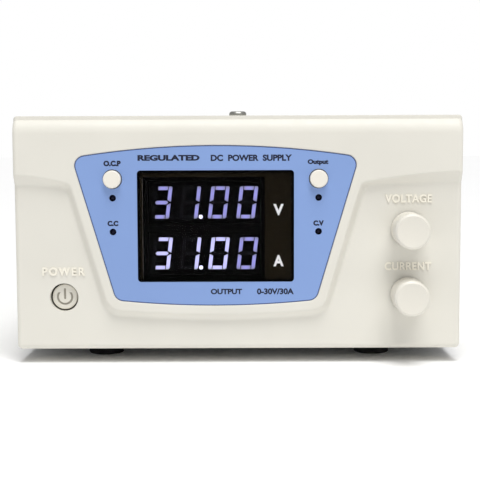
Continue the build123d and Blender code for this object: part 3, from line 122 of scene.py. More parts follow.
class Shader(NodeMaker):
    """A material's node tree, with short methods for the nodes that the finishes share."""

    def __init__(self, name: str) -> None:
        """Starts an empty tree with a Principled surface.

        Args:
            name: The material's name.
        """
        self.material = bpy.data.materials.new(look_name(name))
        self.material.use_nodes = True
        self.tree = self.material.node_tree
        self.tree.nodes.clear()
        self.surface = self.add("ShaderNodeBsdfPrincipled")
        output = self.add("ShaderNodeOutputMaterial")
        self.link(self.surface.outputs[0], output.inputs["Surface"])
        self.coords = self.add("ShaderNodeTexCoord").outputs["Object"]

    def set(self, **values: object) -> None:
        """Sets the surface's own sockets. An underscore in a keyword stands for a space."""
        for key, value in values.items():
            self.surface.inputs[key.replace("_", " ")].default_value = value

    def scaled(self, scale: Point) -> Socket:
        """Returns Object coordinates multiplied along each axis.

        Args:
            scale: The factor of each axis.

        Returns:
            The coordinates' socket.
        """
        mapping = self.add("ShaderNodeMapping")
        mapping.inputs["Scale"].default_value = scale
        self.link(self.coords, mapping.inputs["Vector"])
        return mapping.outputs["Vector"]

    def noise(self, scale: float, detail: float = 3.0, stretch: Point | None = None) -> Socket:
        """Returns a noise pattern's value.

        Args:
            scale: Cells a metre.
            detail: Octaves.
            stretch: Scale of each axis first, for brushed or drawn surfaces.

        Returns:
            The value's socket, about 0 to 1.
        """
        node = self.add("ShaderNodeTexNoise")
        node.inputs["Scale"].default_value = scale
        node.inputs["Detail"].default_value = detail
        self.link(self.scaled(stretch) if stretch else self.coords, node.inputs["Vector"])
        return node.outputs["Fac"]

    def remap(self, value: Socket, low: float, high: float, at: Flat = (0.3, 0.7)) -> Socket:
        """Returns a value mapped to another range and clamped.

        Args:
            value: The value.
            low: The result at the start of the range.
            high: The result at its end.
            at: The range that the value comes from.

        Returns:
            The result's socket.
        """
        node = self.add("ShaderNodeMapRange")
        node.inputs["From Min"].default_value, node.inputs["From Max"].default_value = at
        node.inputs["To Min"].default_value, node.inputs["To Max"].default_value = low, high
        self.link(value, node.inputs["Value"])
        return node.outputs["Result"]

    def mixed(self, factor: Socket, first: Colour, second: Colour) -> Socket:
        """Returns a colour between two.

        Args:
            factor: Where it lies, 0 to 1.
            first: The colour at 0.
            second: The colour at 1.

        Returns:
            The colour's socket.
        """
        node = self.add("ShaderNodeMix", data_type="RGBA")
        node.inputs["A"].default_value = (*first, 1)
        node.inputs["B"].default_value = (*second, 1)
        self.link(factor, node.inputs["Factor"])
        return node.outputs["Result"]

    def drifting(self, pattern: Socket, colour: Colour, spread: float) -> Socket:
        """Returns a colour that a pattern makes darker and lighter by a share."""
        return self.mixed(pattern, shaded(colour, 1 - spread), shaded(colour, 1 + spread))

    def bump(
        self, height: Socket, distance: float, strength: float = 1.0, over: Socket | None = None
    ) -> Socket:
        """Returns a normal bumped by a height pattern.

        Args:
            height: The pattern.
            distance: Its depth.
            strength: Its share, 0 to 1.
            over: The normal that it goes over, if not the surface's own.

        Returns:
            The normal's socket.
        """
        node = self.add("ShaderNodeBump")
        node.inputs["Strength"].default_value = strength
        node.inputs["Distance"].default_value = distance
        self.link(height, node.inputs["Height"])
        if over:
            self.link(over, node.inputs["Normal"])
        return node.outputs["Normal"]

    def soft_edges(self, radius: float) -> Socket:
        """Returns a normal that rounds the edges between faces.

        Args:
            radius: The radius of the rounding.

        Returns:
            The normal's socket.
        """
        node = self.add("ShaderNodeBevel", samples=6)
        node.inputs["Radius"].default_value = radius
        return node.outputs["Normal"]

    def painted_gap_shade(self, colour: Socket, dust_and_shade: Colour, reach: float) -> Socket:
        """Returns a colour darkened by painted shade in narrow gaps.

        Args:
            colour: The open surface's colour.
            dust_and_shade: The colour of the painted shade deep in a gap.
            reach: The width of a gap that counts as narrow.

        Returns:
            The colour's socket.
        """
        # An ambient occlusion mask paints shade into narrow gaps.
        gaps = self.add("ShaderNodeAmbientOcclusion", samples=8)
        gaps.inputs["Distance"].default_value = reach
        shade = self.remap(gaps.outputs["AO"], 0.0, 1.0, at=(0.05, 0.45))
        node = self.add("ShaderNodeMix", data_type="RGBA")
        node.inputs["A"].default_value = (*dust_and_shade, 1)
        self.link(colour, node.inputs["B"])
        self.link(shade, node.inputs["Factor"])
        return node.outputs["Result"]

    def finish(
        self, colour: Socket | None = None, roughness: Socket | None = None, normal: Socket | None = None
    ) -> Material:
        """Links what is given to the surface.

        Args:
            colour: The base colour.
            roughness: The roughness.
            normal: The normal.

        Returns:
            The material.
        """
        for socket, name in ((colour, "Base Color"), (roughness, "Roughness"), (normal, "Normal")):
            if socket:
                self.link(socket, self.surface.inputs[name])
        return self.material


# ---------------------------------------------------------------- finishes
@dataclass(frozen=True)
class MouldedPlastic:
    """A moulded plastic with a fine satin texture, faint flow marks, softened edges and, where set, painted
    shade in narrow gaps.
    """

    name: str
    colour: Colour
    roughness: float = 0.42
    grain: float = 5200.0
    depth: float = 0.00001
    mottling: float = 0.05
    softness: float = 0.0
    coat: float = 0.0
    specular: float = 0.5
    # The next two paint shade into narrow gaps: how wide a gap takes it, and the darkest colour.
    crevice_shade: float = 0.0
    dust_and_shade: Colour = srgb(70, 66, 58)

    def build(self) -> Material:
        """Builds the material.

        Returns:
            The material.
        """
        shader = Shader(self.name)
        shader.set(Coat_Weight=self.coat, Coat_Roughness=0.25, IOR=1.5, Specular_IOR_Level=self.specular)
        colour = shader.drifting(shader.noise(28.0, 2.0), self.colour, self.mottling)
        # Painted shade: narrow gaps are mixed towards the shade colour.
        if self.crevice_shade:
            colour = shader.painted_gap_shade(colour, self.dust_and_shade, self.crevice_shade)
        roughness = shader.remap(shader.noise(180.0), self.roughness - 0.05, self.roughness + 0.06)
        over = shader.soft_edges(self.softness) if self.softness else None
        normal = shader.bump(shader.noise(self.grain, 2.0), self.depth, 0.6, over)
        return shader.finish(colour, roughness, normal)


@dataclass(frozen=True)
class PrintedFilm:
    """A printed plastic film with a fine matt texture."""

    name: str
    colour: Colour
    roughness: float = 0.5
    specular: float = 0.4

    def build(self) -> Material:
        """Builds the material.

        Returns:
            The material.
        """
        shader = Shader(self.name)
        shader.set(Specular_IOR_Level=self.specular)
        colour = shader.drifting(shader.noise(14.0, 1.0), self.colour, 0.06)
        roughness = shader.remap(shader.noise(900.0), self.roughness - 0.04, self.roughness + 0.05)
        return shader.finish(colour, roughness, shader.bump(shader.noise(9000.0, 1.0), 0.000006, 0.5))


@dataclass(frozen=True)
class TintedPane:
    """A clear sheet with a smoky tint and a few fine scratches."""

    name: str
    tint: Colour
    roughness: float = 0.06

    def build(self) -> Material:
        """Builds the material.

        Returns:
            The material.
        """
        shader = Shader(self.name)
        shader.set(Transmission_Weight=1.0, IOR=1.06, Specular_IOR_Level=0.3)
        scratches = shader.noise(160.0, 4.0, stretch=(0.25, 1.0, 6.0))
        roughness = shader.remap(scratches, self.roughness, self.roughness + 0.07, at=(0.55, 0.75))
        return shader.finish(shader.drifting(shader.noise(20.0, 1.0), self.tint, 0.03), roughness)


@dataclass(frozen=True)
class Glow:
    """A lit plastic bar whose colour fades from its middle to its ends."""

    name: str
    colour: Colour
    ends: Colour
    strength: float

    def build(self) -> Material:
        """Builds the material, whose colour follows the bar's own glow attribute.

        Returns:
            The material.
        """
        shader = Shader(self.name)
        shader.set(Roughness=0.6, Specular_IOR_Level=0.2, Emission_Strength=self.strength)
        spread = shader.add("ShaderNodeAttribute", attribute_name="glow").outputs["Fac"]
        grain = shader.remap(shader.noise(900.0, 2.0), -0.08, 0.08)
        total = shader.add("ShaderNodeMath", operation="ADD", use_clamp=True)
        shader.link(spread, total.inputs[0])
        shader.link(grain, total.inputs[1])
        share = total.outputs[0]
        shader.link(shader.mixed(share, self.ends, self.colour), shader.surface.inputs["Emission Color"])
        return shader.finish(shader.mixed(share, shaded(self.ends, 0.2), shaded(self.colour, 0.25)))


@dataclass(frozen=True)
class PaintedSheet:
    """Sheet steel under a powder coat with a fine orange peel."""

    name: str
    colour: Colour
    roughness: float = 0.48

    def build(self) -> Material:
        """Builds the material.

        Returns:
            The material.
        """
        shader = Shader(self.name)
        shader.set(Coat_Weight=0.12, Coat_Roughness=0.35)
        colour = shader.drifting(shader.noise(9.0, 2.0), self.colour, 0.035)
        roughness = shader.remap(shader.noise(60.0), self.roughness - 0.06, self.roughness + 0.06)
        fine = shader.bump(shader.noise(5200.0, 1.0), 0.000008, 0.4)
        return shader.finish(colour, roughness, shader.bump(shader.noise(900.0, 2.0), 0.00003, 0.35, fine))


@dataclass(frozen=True)
class Metal:
    """A bare or plated metal with drawn marks along one axis."""

    name: str
    colour: Colour
    roughness: float = 0.32
    drawn: Point = (1.0, 1.0, 1.0)
    marks: float = 0.000006

    def build(self) -> Material:
        """Builds the material.

        Returns:
            The material.
        """
        shader = Shader(self.name)
        shader.set(Metallic=1.0)
        streaks = shader.noise(700.0, 3.0, stretch=self.drawn)
        colour = shader.mixed(streaks, shaded(self.colour, 0.86), shaded(self.colour, 1.08))
        roughness = shader.remap(streaks, self.roughness - 0.07, self.roughness + 0.1)
        return shader.finish(colour, roughness, shader.bump(streaks, self.marks, 0.5))


@dataclass(frozen=True)
class SoftRubber:
    """Black rubber, dusty in its pores."""

    name: str
    colour: Colour

    def build(self) -> Material:
        """Builds the material.

        Returns:
            The material.
        """
        shader = Shader(self.name)
        shader.set(Specular_IOR_Level=0.3)
        dust_and_shade = shader.remap(shader.noise(320.0, 5.0), 0.0, 0.35, at=(0.5, 0.8))
        colour = shader.mixed(dust_and_shade, self.colour, shaded(self.colour, 4.0))
        pores = shader.bump(shader.noise(2600.0), 0.00003, 0.6)
        return shader.finish(colour, shader.remap(dust_and_shade, 0.72, 0.9), pores)


@dataclass(frozen=True)
class CircuitBoard:
    """Green solder mask over copper tracks, with a woven glass texture."""

    name: str
    colour: Colour

    def build(self) -> Material:
        """Builds the material.

        Returns:
            The material.
        """
        shader = Shader(self.name)
        shader.set(Coat_Weight=0.5, Coat_Roughness=0.15)
        tracks = shader.add(
            "ShaderNodeTexBrick", offset=0.5, offset_frequency=2, squash=1.4, squash_frequency=3
        )
        tracks.inputs["Scale"].default_value = 220.0
        tracks.inputs["Mortar Size"].default_value = 0.045
        tracks.inputs["Color1"].default_value = (*self.colour, 1)
        tracks.inputs["Color2"].default_value = (*shaded(self.colour, 1.25), 1)
        tracks.inputs["Mortar"].default_value = (*shaded(self.colour, 0.55), 1)
        shader.link(shader.coords, tracks.inputs["Vector"])
        normal = shader.bump(tracks.outputs["Fac"], 0.00004, 0.5)
        return shader.finish(tracks.outputs["Color"], shader.remap(shader.noise(500.0), 0.25, 0.4), normal)


@dataclass(frozen=True)
class Wound:
    """Turns of wire or tape, seen as fine ridges along one axis, with painted shade in the grooves between
    them.
    """

    name: str
    colour: Colour
    pitch: float = 0.0011
    metallic: float = 0.0
    along: str = "Z"

    def build(self) -> Material:
        """Builds the material.

        Returns:
            The material.
        """
        shader = Shader(self.name)
        shader.set(Metallic=self.metallic, Coat_Weight=0.4, Coat_Roughness=0.2)
        turns = shader.add(
            "ShaderNodeTexWave", wave_type="BANDS", bands_direction=self.along, wave_profile="SIN"
        )
        turns.inputs["Scale"].default_value = BANDS_PER_METRE / self.pitch
        turns.inputs["Distortion"].default_value = 0.4
        shader.link(shader.coords, turns.inputs["Vector"])
        # Painted shade: the grooves between turns are darker than the ridges.
        colour = shader.mixed(turns.outputs["Fac"], shaded(self.colour, 0.6), self.colour)
        ridges = shader.bump(turns.outputs["Fac"], 0.0003, 0.8)
        return shader.finish(colour, shader.remap(shader.noise(300.0), 0.3, 0.45), ridges)


class Finish(Enum):
    """The finishes of the power supply's parts."""

    # The bezel's ivory gets painted shade in its narrow gaps and hollows.
    IVORY = MouldedPlastic(
        "ivory_plastic", srgb(225, 222, 212), 0.46, softness=0.0006, specular=0.42, crevice_shade=0.004
    )
    IVORY_KNOB = MouldedPlastic("ivory_knob", srgb(228, 224, 213), 0.42, softness=0.0002, specular=0.45)
    # A darker ivory for the engraved symbol's floor: painted shade.
    IVORY_PAINTED_SHADE = MouldedPlastic("engraved_symbol_shade", srgb(158, 153, 141), 0.5)
    # A lighter copy of the bezel's ivory for the raised words: painted light on their raised faces.
    IVORY_RAISED_PAINTED_LIGHT = MouldedPlastic("ivory_lettering_painted_light", srgb(244, 239, 225), 0.4)
    WHITE_BUTTON = MouldedPlastic("white_button", srgb(236, 231, 220), 0.36, softness=0.0002)
    BLACK = MouldedPlastic("black_plastic", srgb(24, 24, 25), 0.5, depth=0.00002, softness=0.0003)
    DISPLAY_BLACK = MouldedPlastic("display_black", srgb(5, 5, 6), 0.7, specular=0.04)
    RED = MouldedPlastic("red_plastic", srgb(176, 24, 22), 0.35, coat=0.2)
    LED = MouldedPlastic("led_lens", srgb(11, 13, 38), 0.4, coat=0.05, specular=0.2)
    BLUE_FILM = PrintedFilm("blue_film", srgb(132, 160, 213))
    BLUE_EDGE = PrintedFilm("blue_edge", srgb(62, 84, 140))
    NAVY_INK = PrintedFilm("navy_ink", srgb(20, 25, 50), 0.6)
    WHITE_INK = PrintedFilm("white_ink", srgb(250, 250, 250), 0.55, 0.1)
    BLACK_INK = PrintedFilm("black_ink", srgb(6, 6, 6), 0.6, 0.04)
    BROWN_INK = PrintedFilm("smoked_back", srgb(27, 22, 13), 0.7, 0.04)
    WINDOW = TintedPane("window_pane", srgb(236, 235, 237))
    DIM_SEGMENT = PrintedFilm("dim_segment", srgb(20, 20, 24), 0.6, 0.05)
    LIT_SEGMENT = Glow("lit_segment", srgb(166, 165, 240), srgb(138, 138, 166), 0.9)
    BRIGHT_SEGMENT = Glow("bright_segment", srgb(196, 196, 255), srgb(168, 168, 196), 1.3)
    POINT = Glow("lit_point", srgb(226, 226, 255), srgb(200, 200, 225), 2.0)
    CASE = PaintedSheet("case_paint", srgb(214, 211, 200))
    ZINC = Metal("zinc_plate", srgb(188, 188, 182), 0.34)
    TRAY = Metal("tray_zinc", srgb(178, 180, 180), 0.42, drawn=(1.0, 0.05, 1.0))
    CHROME = Metal("bright_wire", srgb(214, 214, 216), 0.16)
    STEEL = Metal("turned_steel", srgb(170, 170, 172), 0.28, drawn=(0.2, 1.0, 0.2))
    BRASS = Metal("plated_brass", srgb(206, 186, 130), 0.24, drawn=(0.3, 1.0, 0.3))
    COPPER = Metal("copper_bar", srgb(198, 124, 88), 0.3, drawn=(1.0, 0.1, 1.0))
    ALUMINIUM = Metal("extruded_aluminium", srgb(186, 188, 192), 0.38, drawn=(1.0, 1.0, 0.04))
    RUBBER = SoftRubber("foot_rubber", srgb(20, 20, 20))
    BOARD = CircuitBoard("green_board", srgb(22, 92, 48))
    FERRITE = MouldedPlastic("ferrite", srgb(46, 46, 49), 0.62, grain=1800.0, depth=0.00006)
    TAPE = Wound("yellow_tape", srgb(214, 168, 40), 0.004)
    ENAMEL = Metal("enamelled_wire", srgb(192, 104, 56), 0.24)
    RESISTOR = Wound("resistor_body", srgb(196, 168, 120), 0.0013, along="X")
    SLEEVE = MouldedPlastic("capacitor_sleeve", srgb(26, 34, 62), 0.3, coat=0.4)
    GREY_CABLE = Wound("grey_ribbon", srgb(150, 152, 154), 0.00127, along="X")
    WIRE = MouldedPlastic("wire_insulation", srgb(74, 76, 80), 0.4)
    GLASS = TintedPane("fuse_glass", srgb(236, 240, 238), 0.03)

    @property
    def material(self) -> Material:
        """The finish's material, built the first time that it is asked for."""
        found = bpy.data.materials.get(look_name(self.value.name))
        return found or self.value.build()


# ---------------------------------------------------------------- making pieces
def dress(finish: Finish, *nodes: str) -> None:
    """Gives CAD nodes a finish.

    Args:
        finish: The finish.
        nodes: The nodes' names.
    """
    for node in nodes:
        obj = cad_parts[node]
        obj.data.materials.clear()
        obj.data.materials.append(finish.material)
        log.info("dressed %s as %s", node, finish.name)


def piece(name: str, mesh: Mesh, finish: Finish, body: str = ROOT) -> bpy.types.Object:
    """Makes a finished mesh an object that rides on a body.

    Args:
        name: The piece's name.
        mesh: Its mesh, already in place.
        finish: Its finish.
        body: The body it moves with.

    Returns:
        The object.
    """
    obj = bpy.data.objects.new(name, mesh)
    bpy.context.scene.collection.objects.link(obj)
    mesh.materials.clear()
    mesh.materials.append(finish.material)
    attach(obj, body)
    log.info("made %s with %d faces", name, len(mesh.polygons))
    return obj


def smooth_by_angle(mesh: Mesh, degrees: float) -> None:
    """Shades a mesh smooth, apart from its sharp edges.

    Args:
        mesh: The mesh.
        degrees: Edges sharper than this stay sharp.
    """
    work = bmesh.new()
    work.from_mesh(mesh)
    limit = math.radians(degrees)
    for face in work.faces:
        face.smooth = True
    for edge in work.edges:
        edge.smooth = edge.calc_face_angle(0.0) < limit
    work.to_mesh(mesh)
    work.free()


def merged(mesh: Mesh) -> bmesh.types.BMesh:
    """Copies a mesh to work on, with its loose triangles joined.

    Args:
        mesh: The mesh, which is left alone.

    Returns:
        The working mesh.
    """
    work = bmesh.new()
    work.from_mesh(mesh)
    bmesh.ops.remove_doubles(work, verts=work.verts, dist=MERGE)
    return work


def made_from(work: bmesh.types.BMesh, name: str, degrees: float | None = None) -> Mesh:
    """Turns a working mesh into a named mesh.

    Args:
        work: The working mesh, which is freed.
        name: The mesh's name.
        degrees: Edges sharper than this stay sharp. With none, the shading stays as it is.

    Returns:
        The mesh.
    """
    mesh = bpy.data.meshes.new(name)
    work.to_mesh(mesh)
    work.free()
    if degrees is not None:
        smooth_by_angle(mesh, degrees)
    return mesh


def extent(corners: list[Vector]) -> tuple[Vector, Vector]:
    """Measures the box round some points.

    Args:
        corners: The points.

    Returns:
        The box's low and high corners.
    """
    low = Vector([min(corner[axis] for corner in corners) for axis in range(3)])
    high = Vector([max(corner[axis] for corner in corners) for axis in range(3)])
    return low, high


def refined_copy(
    node: str, name: str, finish: Finish, body: str = ROOT, degrees: float = 32.0
) -> bpy.types.Object:
    """Replaces a CAD node with a merged and smoothly shaded copy of its mesh.

    Args:
        node: The CAD node.
        name: The new piece's name.
        finish: Its finish.
        body: The body it moves with.
        degrees: Edges sharper than this stay sharp.

    Returns:
        The new piece.
    """
    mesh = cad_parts[node].data.copy()
    mesh.name = name
    work = merged(mesh)
    work.to_mesh(mesh)
    work.free()
    normals = mesh.attributes.get("custom_normal")
    if normals:
        mesh.attributes.remove(normals)
    smooth_by_angle(mesh, degrees)
    obj = piece(name, mesh, finish, body)
    weighted = obj.modifiers.new("even_shading", "WEIGHTED_NORMAL")
    weighted.keep_sharp = True
    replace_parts(obj, node)
    return obj


def plate(outline: list[Flat], front: float, thickness: float, name: str) -> Mesh:
    """A flat plate facing the user, from an outline in X and Z.

    Args:
        outline: Its corners, in order.
        front: The Y of its front face.
        thickness: How far it reaches back.
        name: The mesh's name.

    Returns:
        The mesh.
    """
    work = bmesh.new()
    near = [work.verts.new((x, front, z)) for x, z in outline]
    face = work.faces.new(near)
    made = bmesh.ops.extrude_face_region(work, geom=[face])
    moved = [item for item in made["geom"] if isinstance(item, bmesh.types.BMVert)]
    bmesh.ops.translate(work, verts=moved, vec=(0, thickness, 0))
    bmesh.ops.recalc_face_normals(work, faces=work.faces)
    return made_from(work, name)


def joined(name: str, meshes: list[Mesh]) -> Mesh:
    """Joins meshes into one.

    Args:
        name: The result's name.
        meshes: The meshes, which are removed.

    Returns:
        The joined mesh.
    """
    work = bmesh.new()
    for mesh in meshes:
        work.from_mesh(mesh)
        bpy.data.meshes.remove(mesh)
    return made_from(work, name)


@dataclass
class Lettering:
    """A word in relief or in print on a face that looks towards -Y or +Y."""

    text: str
    centre: Flat
    width: float
    height: float
    face: float
    relief: float = 0.02 * MM
    weight: float = 0.02
    spacing: float = 1.0
    from_behind: bool = False

    def mesh(self) -> Mesh:
        """Makes the word's mesh in its place.

        Returns:
            The mesh.
        """
        curve = bpy.data.curves.new(self.text, "FONT")
        curve.body = self.text
        curve.size = 1.0
        curve.offset = self.weight
        curve.space_character = self.spacing
        curve.extrude = 0.5
        curve.resolution_u = 6
        holder = bpy.data.objects.new(self.text, curve)
        mesh = bpy.data.meshes.new_from_object(holder)
        bpy.data.objects.remove(holder)
        bpy.data.curves.remove(curve)
        low, high = extent([vertex.co for vertex in mesh.vertices])
        middle = (low + high) / 2
        size = high - low
        side = -1 if self.from_behind else 1
        for vertex in mesh.vertices:
            x, y, z = vertex.co - middle
            vertex.co = (
                self.centre[0] + side * x / size.x * self.width,
                self.face - side * (z + 0.5) * self.relief,
                self.centre[1] + y / size.y * self.height,
            )
        mesh.update()
        return mesh


def printed(name: str, face: float, words: tuple[tuple, ...], from_behind: bool = False) -> None:
    """Prints words in navy ink, as one piece.

    Args:
        name: The piece's name.
        face: The Y of the face that they are on.
        words: Each word's text, middle across, middle's height, width and height in mm, and weight.
        from_behind: Whether they are read from behind.
    """
    meshes = [
        Lettering(text, (x, z), wide * MM, high * MM, face, weight=weight, from_behind=from_behind).mesh()
        for text, x, z, wide, high, weight in words
    ]
    piece(name, joined(name, meshes), Finish.NAVY_INK)


class RepeatTree(NodeMaker):
    """A Geometry Nodes tree that copies its input geometry onto points, then turns, places and dresses it."""

    sizes: tuple[tuple[str, str, object], ...] = ()
    placing: tuple[tuple[str, str, object], ...] = (
        ("Turn", "NodeSocketVector", (0.0, 0.0, 0.0)),
        ("Centre", "NodeSocketVector", (0.0, 0.0, 0.0)),
        ("Finish", "NodeSocketMaterial", None),
    )

    def __init__(self, name: str) -> None:
        """Builds the tree.

        Args:
            name: The tree's name.
        """
        self.tree = bpy.data.node_groups.new(name, "GeometryNodeTree")
        face = self.tree.interface
        face.new_socket("Geometry", in_out="INPUT", socket_type="NodeSocketGeometry")
        for label, kind, default in (*self.sizes, *self.placing):
            socket = face.new_socket(label, in_out="INPUT", socket_type=kind)
            if default is not None:
                socket.default_value = default
        face.new_socket("Geometry", in_out="OUTPUT", socket_type="NodeSocketGeometry")
        self.given = self.add("NodeGroupInput").outputs
        copies = self.add("GeometryNodeInstanceOnPoints")
        self.place(copies)
        self.link(self.given["Geometry"], copies.inputs["Instance"])
        turned = self.add("GeometryNodeTransform")
        self.link(copies.outputs[0], turned.inputs["Geometry"])
        self.link(self.given["Turn"], turned.inputs["Rotation"])
        self.link(self.given["Centre"], turned.inputs["Translation"])
        whole = self.add("GeometryNodeRealizeInstances")
        self.link(turned.outputs[0], whole.inputs[0])
        dressed = self.add("GeometryNodeSetMaterial")
        self.link(whole.outputs[0], dressed.inputs["Geometry"])
        self.link(self.given["Finish"], dressed.inputs["Material"])
        self.link(dressed.outputs[0], self.add("NodeGroupOutput").inputs[0])

    def maths(self, operation: str, first: Socket | float, second: Socket | float) -> Socket:
        """Returns the result of an operation.

        Args:
            operation: The operation's name.
            first: Its first value or socket.
            second: Its second value or socket.

        Returns:
            The result's socket.
        """
        node = self.add("ShaderNodeMath", operation=operation)
        for value, socket in zip((first, second), node.inputs):
            if isinstance(value, float):
                socket.default_value = value
            else:
                self.link(value, socket)
        return node.outputs[0]

    def vector(self, value: Socket, axis: str) -> Socket:
        """Returns a vector along one axis.

        Args:
            value: Its length.
            axis: The axis.

        Returns:
            The vector's socket.
        """
        node = self.add("ShaderNodeCombineXYZ")
        self.link(value, node.inputs[axis])
        return node.outputs[0]

    def place(self, copies: bpy.types.Node) -> None:
        """Gives the copies their points, and their turns if they have any. Each kind of tree has its own."""
        raise NotImplementedError


class GridTree(RepeatTree):
    """Repeats its input geometry on a grid of points."""

    sizes = (
        ("Columns", "NodeSocketInt", 4),
        ("Rows", "NodeSocketInt", 1),
        ("Pitch X", "NodeSocketFloat", 0.01),
        ("Pitch Y", "NodeSocketFloat", 0.01),
    )

    def line(self, count: str, pitch: str, axis: str) -> Socket:
        """Returns a centred line of points.

        Args:
            count: The input with the number of points.
            pitch: The input with their pitch.
            axis: The axis that they lie along.

        Returns:
            The points' socket.
        """
        line = self.add("GeometryNodeMeshLine", mode="OFFSET")
        self.link(self.given[count], line.inputs["Count"])
        self.link(self.vector(self.given[pitch], axis), line.inputs["Offset"])
        span = self.maths("MULTIPLY", self.maths("SUBTRACT", self.given[count], 1.0), self.given[pitch])
        start = self.maths("MULTIPLY", span, -0.5)
        self.link(self.vector(start, axis), line.inputs["Start Location"])
        return line.outputs[0]

    def place(self, copies: bpy.types.Node) -> None:
        """Places the copies on a grid.

        Args:
            copies: The node that makes them.
        """
        spread = self.add("GeometryNodeInstanceOnPoints")
        self.link(self.line("Columns", "Pitch X", "X"), spread.inputs["Points"])
        self.link(self.line("Rows", "Pitch Y", "Y"), spread.inputs["Instance"])
        points = self.add("GeometryNodeRealizeInstances")
        self.link(spread.outputs[0], points.inputs[0])
        self.link(points.outputs[0], copies.inputs["Points"])


class RingTree(RepeatTree):
    """Repeats its input geometry round a circle, about Z before its turn."""

    sizes = (("Count", "NodeSocketInt", 6), ("Radius", "NodeSocketFloat", 0.01))

    def place(self, copies: bpy.types.Node) -> None:
        """Places the copies round the circle, each turned to face outwards.

        Args:
            copies: The node that makes them.
        """
        circle = self.add("GeometryNodeMeshCircle")
        self.link(self.given["Count"], circle.inputs["Vertices"])
        self.link(self.given["Radius"], circle.inputs["Radius"])
        index = self.add("GeometryNodeInputIndex").outputs[0]
        angle = self.maths("MULTIPLY", index, self.maths("DIVIDE", math.tau, self.given["Count"]))
        self.link(circle.outputs[0], copies.inputs["Points"])
        self.link(self.vector(angle, "Z"), copies.inputs["Rotation"])


def repeated(name: str, unit: Mesh, tree: bpy.types.NodeTree, finish: Finish, **inputs: object) -> Mesh:
    """Runs a repeating tree on a unit mesh and returns the plain mesh that it gives.

    Args:
        name: The result's name.
        unit: The mesh to repeat.
        tree: The Geometry Nodes tree.
        finish: The finish of the copies.
        inputs: Values of the tree's inputs. An underscore stands for a space.

    Returns:
        The repeated mesh.
    """
    holder = bpy.data.objects.new(name, unit)
    bpy.context.scene.collection.objects.link(holder)
    modifier = holder.modifiers.new("repeat", "NODES")
    modifier.node_group = tree
    keys = {item.name: item.identifier for item in tree.interface.items_tree if item.in_out == "INPUT"}
    modifier[keys["Finish"]] = finish.material
    for label, value in inputs.items():
        modifier[keys[label.replace("_", " ")]] = value
    graph = bpy.context.evaluated_depsgraph_get()
    mesh = bpy.data.meshes.new_from_object(holder.evaluated_get(graph))
    mesh.name = name
    holder.modifiers.remove(modifier)
    bpy.data.objects.remove(holder)
    return mesh


def unit_dome(radius: float, height: float, sides: int) -> Mesh:
    """A small dome on the plane z = 0, with its top towards +Z.

    Args:
        radius: Its radius.
        height: Its height.
        sides: Faces round it.

    Returns:
        The mesh.
    """
    work = bmesh.new()
    levels = ((1.0, 0.0), (0.92, 0.45), (0.6, 0.85), (0.22, 1.0))
    rings = []
    for share, rise in levels:
        ring = []
        for step in range(sides):
            angle = math.tau * step / sides
            across = radius * share
            ring.append(work.verts.new((across * math.cos(angle), across * math.sin(angle), height * rise)))
        rings.append(ring)
    for lower, upper in zip(rings, rings[1:]):
        for step in range(sides):
            after = (step + 1) % sides
            work.faces.new((lower[step], lower[after], upper[after], upper[step]))
    work.faces.new(rings[-1])
    work.faces.new(list(reversed(rings[0])))
    return made_from(work, "dome", degrees=50)


def rod_mesh(radius: float, length: float, sides: int, centre: Point, rounding: float) -> Mesh:
    """A closed rod along X with rounded ends.

    Args:
        radius: Its radius.
        length: Its length.
        sides: Faces round it.
        centre: Its centre.
        rounding: How much its rims are rounded.

    Returns:
        The mesh.
    """
    work = bmesh.new()
    bmesh.ops.create_cone(work, cap_ends=True, segments=sides, radius1=radius, radius2=radius, depth=length)
    rims = [edge for edge in work.edges if abs(edge.verts[0].co.z - edge.verts[1].co.z) < MERGE]
    bmesh.ops.bevel(work, geom=rims, offset=rounding, segments=2, affect="EDGES", profile=0.5)
    turn = Matrix.Rotation(math.pi / 2, 4, "Y")
    bmesh.ops.transform(work, matrix=Matrix.Translation(centre) @ turn, verts=work.verts)
    return made_from(work, "rod", degrees=40)


def torus_mesh(ring: float, wire: float, around: int, across: int, upright: bool) -> Mesh:
    """A closed round ring, about Z or, upright, about Y.

    Args:
        ring: The radius of its centre line.
        wire: The radius of its section.
        around: Faces along the ring.
        across: Faces round its section.
        upright: Whether it stands in the XZ plane.

    Returns:
        The mesh, centred on the origin.
    """
    work = bmesh.new()
    rows = []
    for step in range(around):
        turn = math.tau * step / around
        row = []
        for part in range(across):
            angle = math.tau * part / across
            reach = ring + wire * math.cos(angle)
            spot = (reach * math.cos(turn), reach * math.sin(turn), wire * math.sin(angle))
            row.append(work.verts.new(spot))
        rows.append(row)
    for step, row in enumerate(rows):
        after = rows[(step + 1) % around]
        for part in range(across):
            other = (part + 1) % across
            work.faces.new((row[part], after[part], after[other], row[other])).smooth = True
    if upright:
        bmesh.ops.rotate(work, verts=work.verts, matrix=Matrix.Rotation(math.pi / 2, 3, "X"))
    return made_from(work, "ring")


def middle_of(node: str) -> Vector:
    """The centre of a CAD node's box."""
    low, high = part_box(node)
    return (low + high) / 2


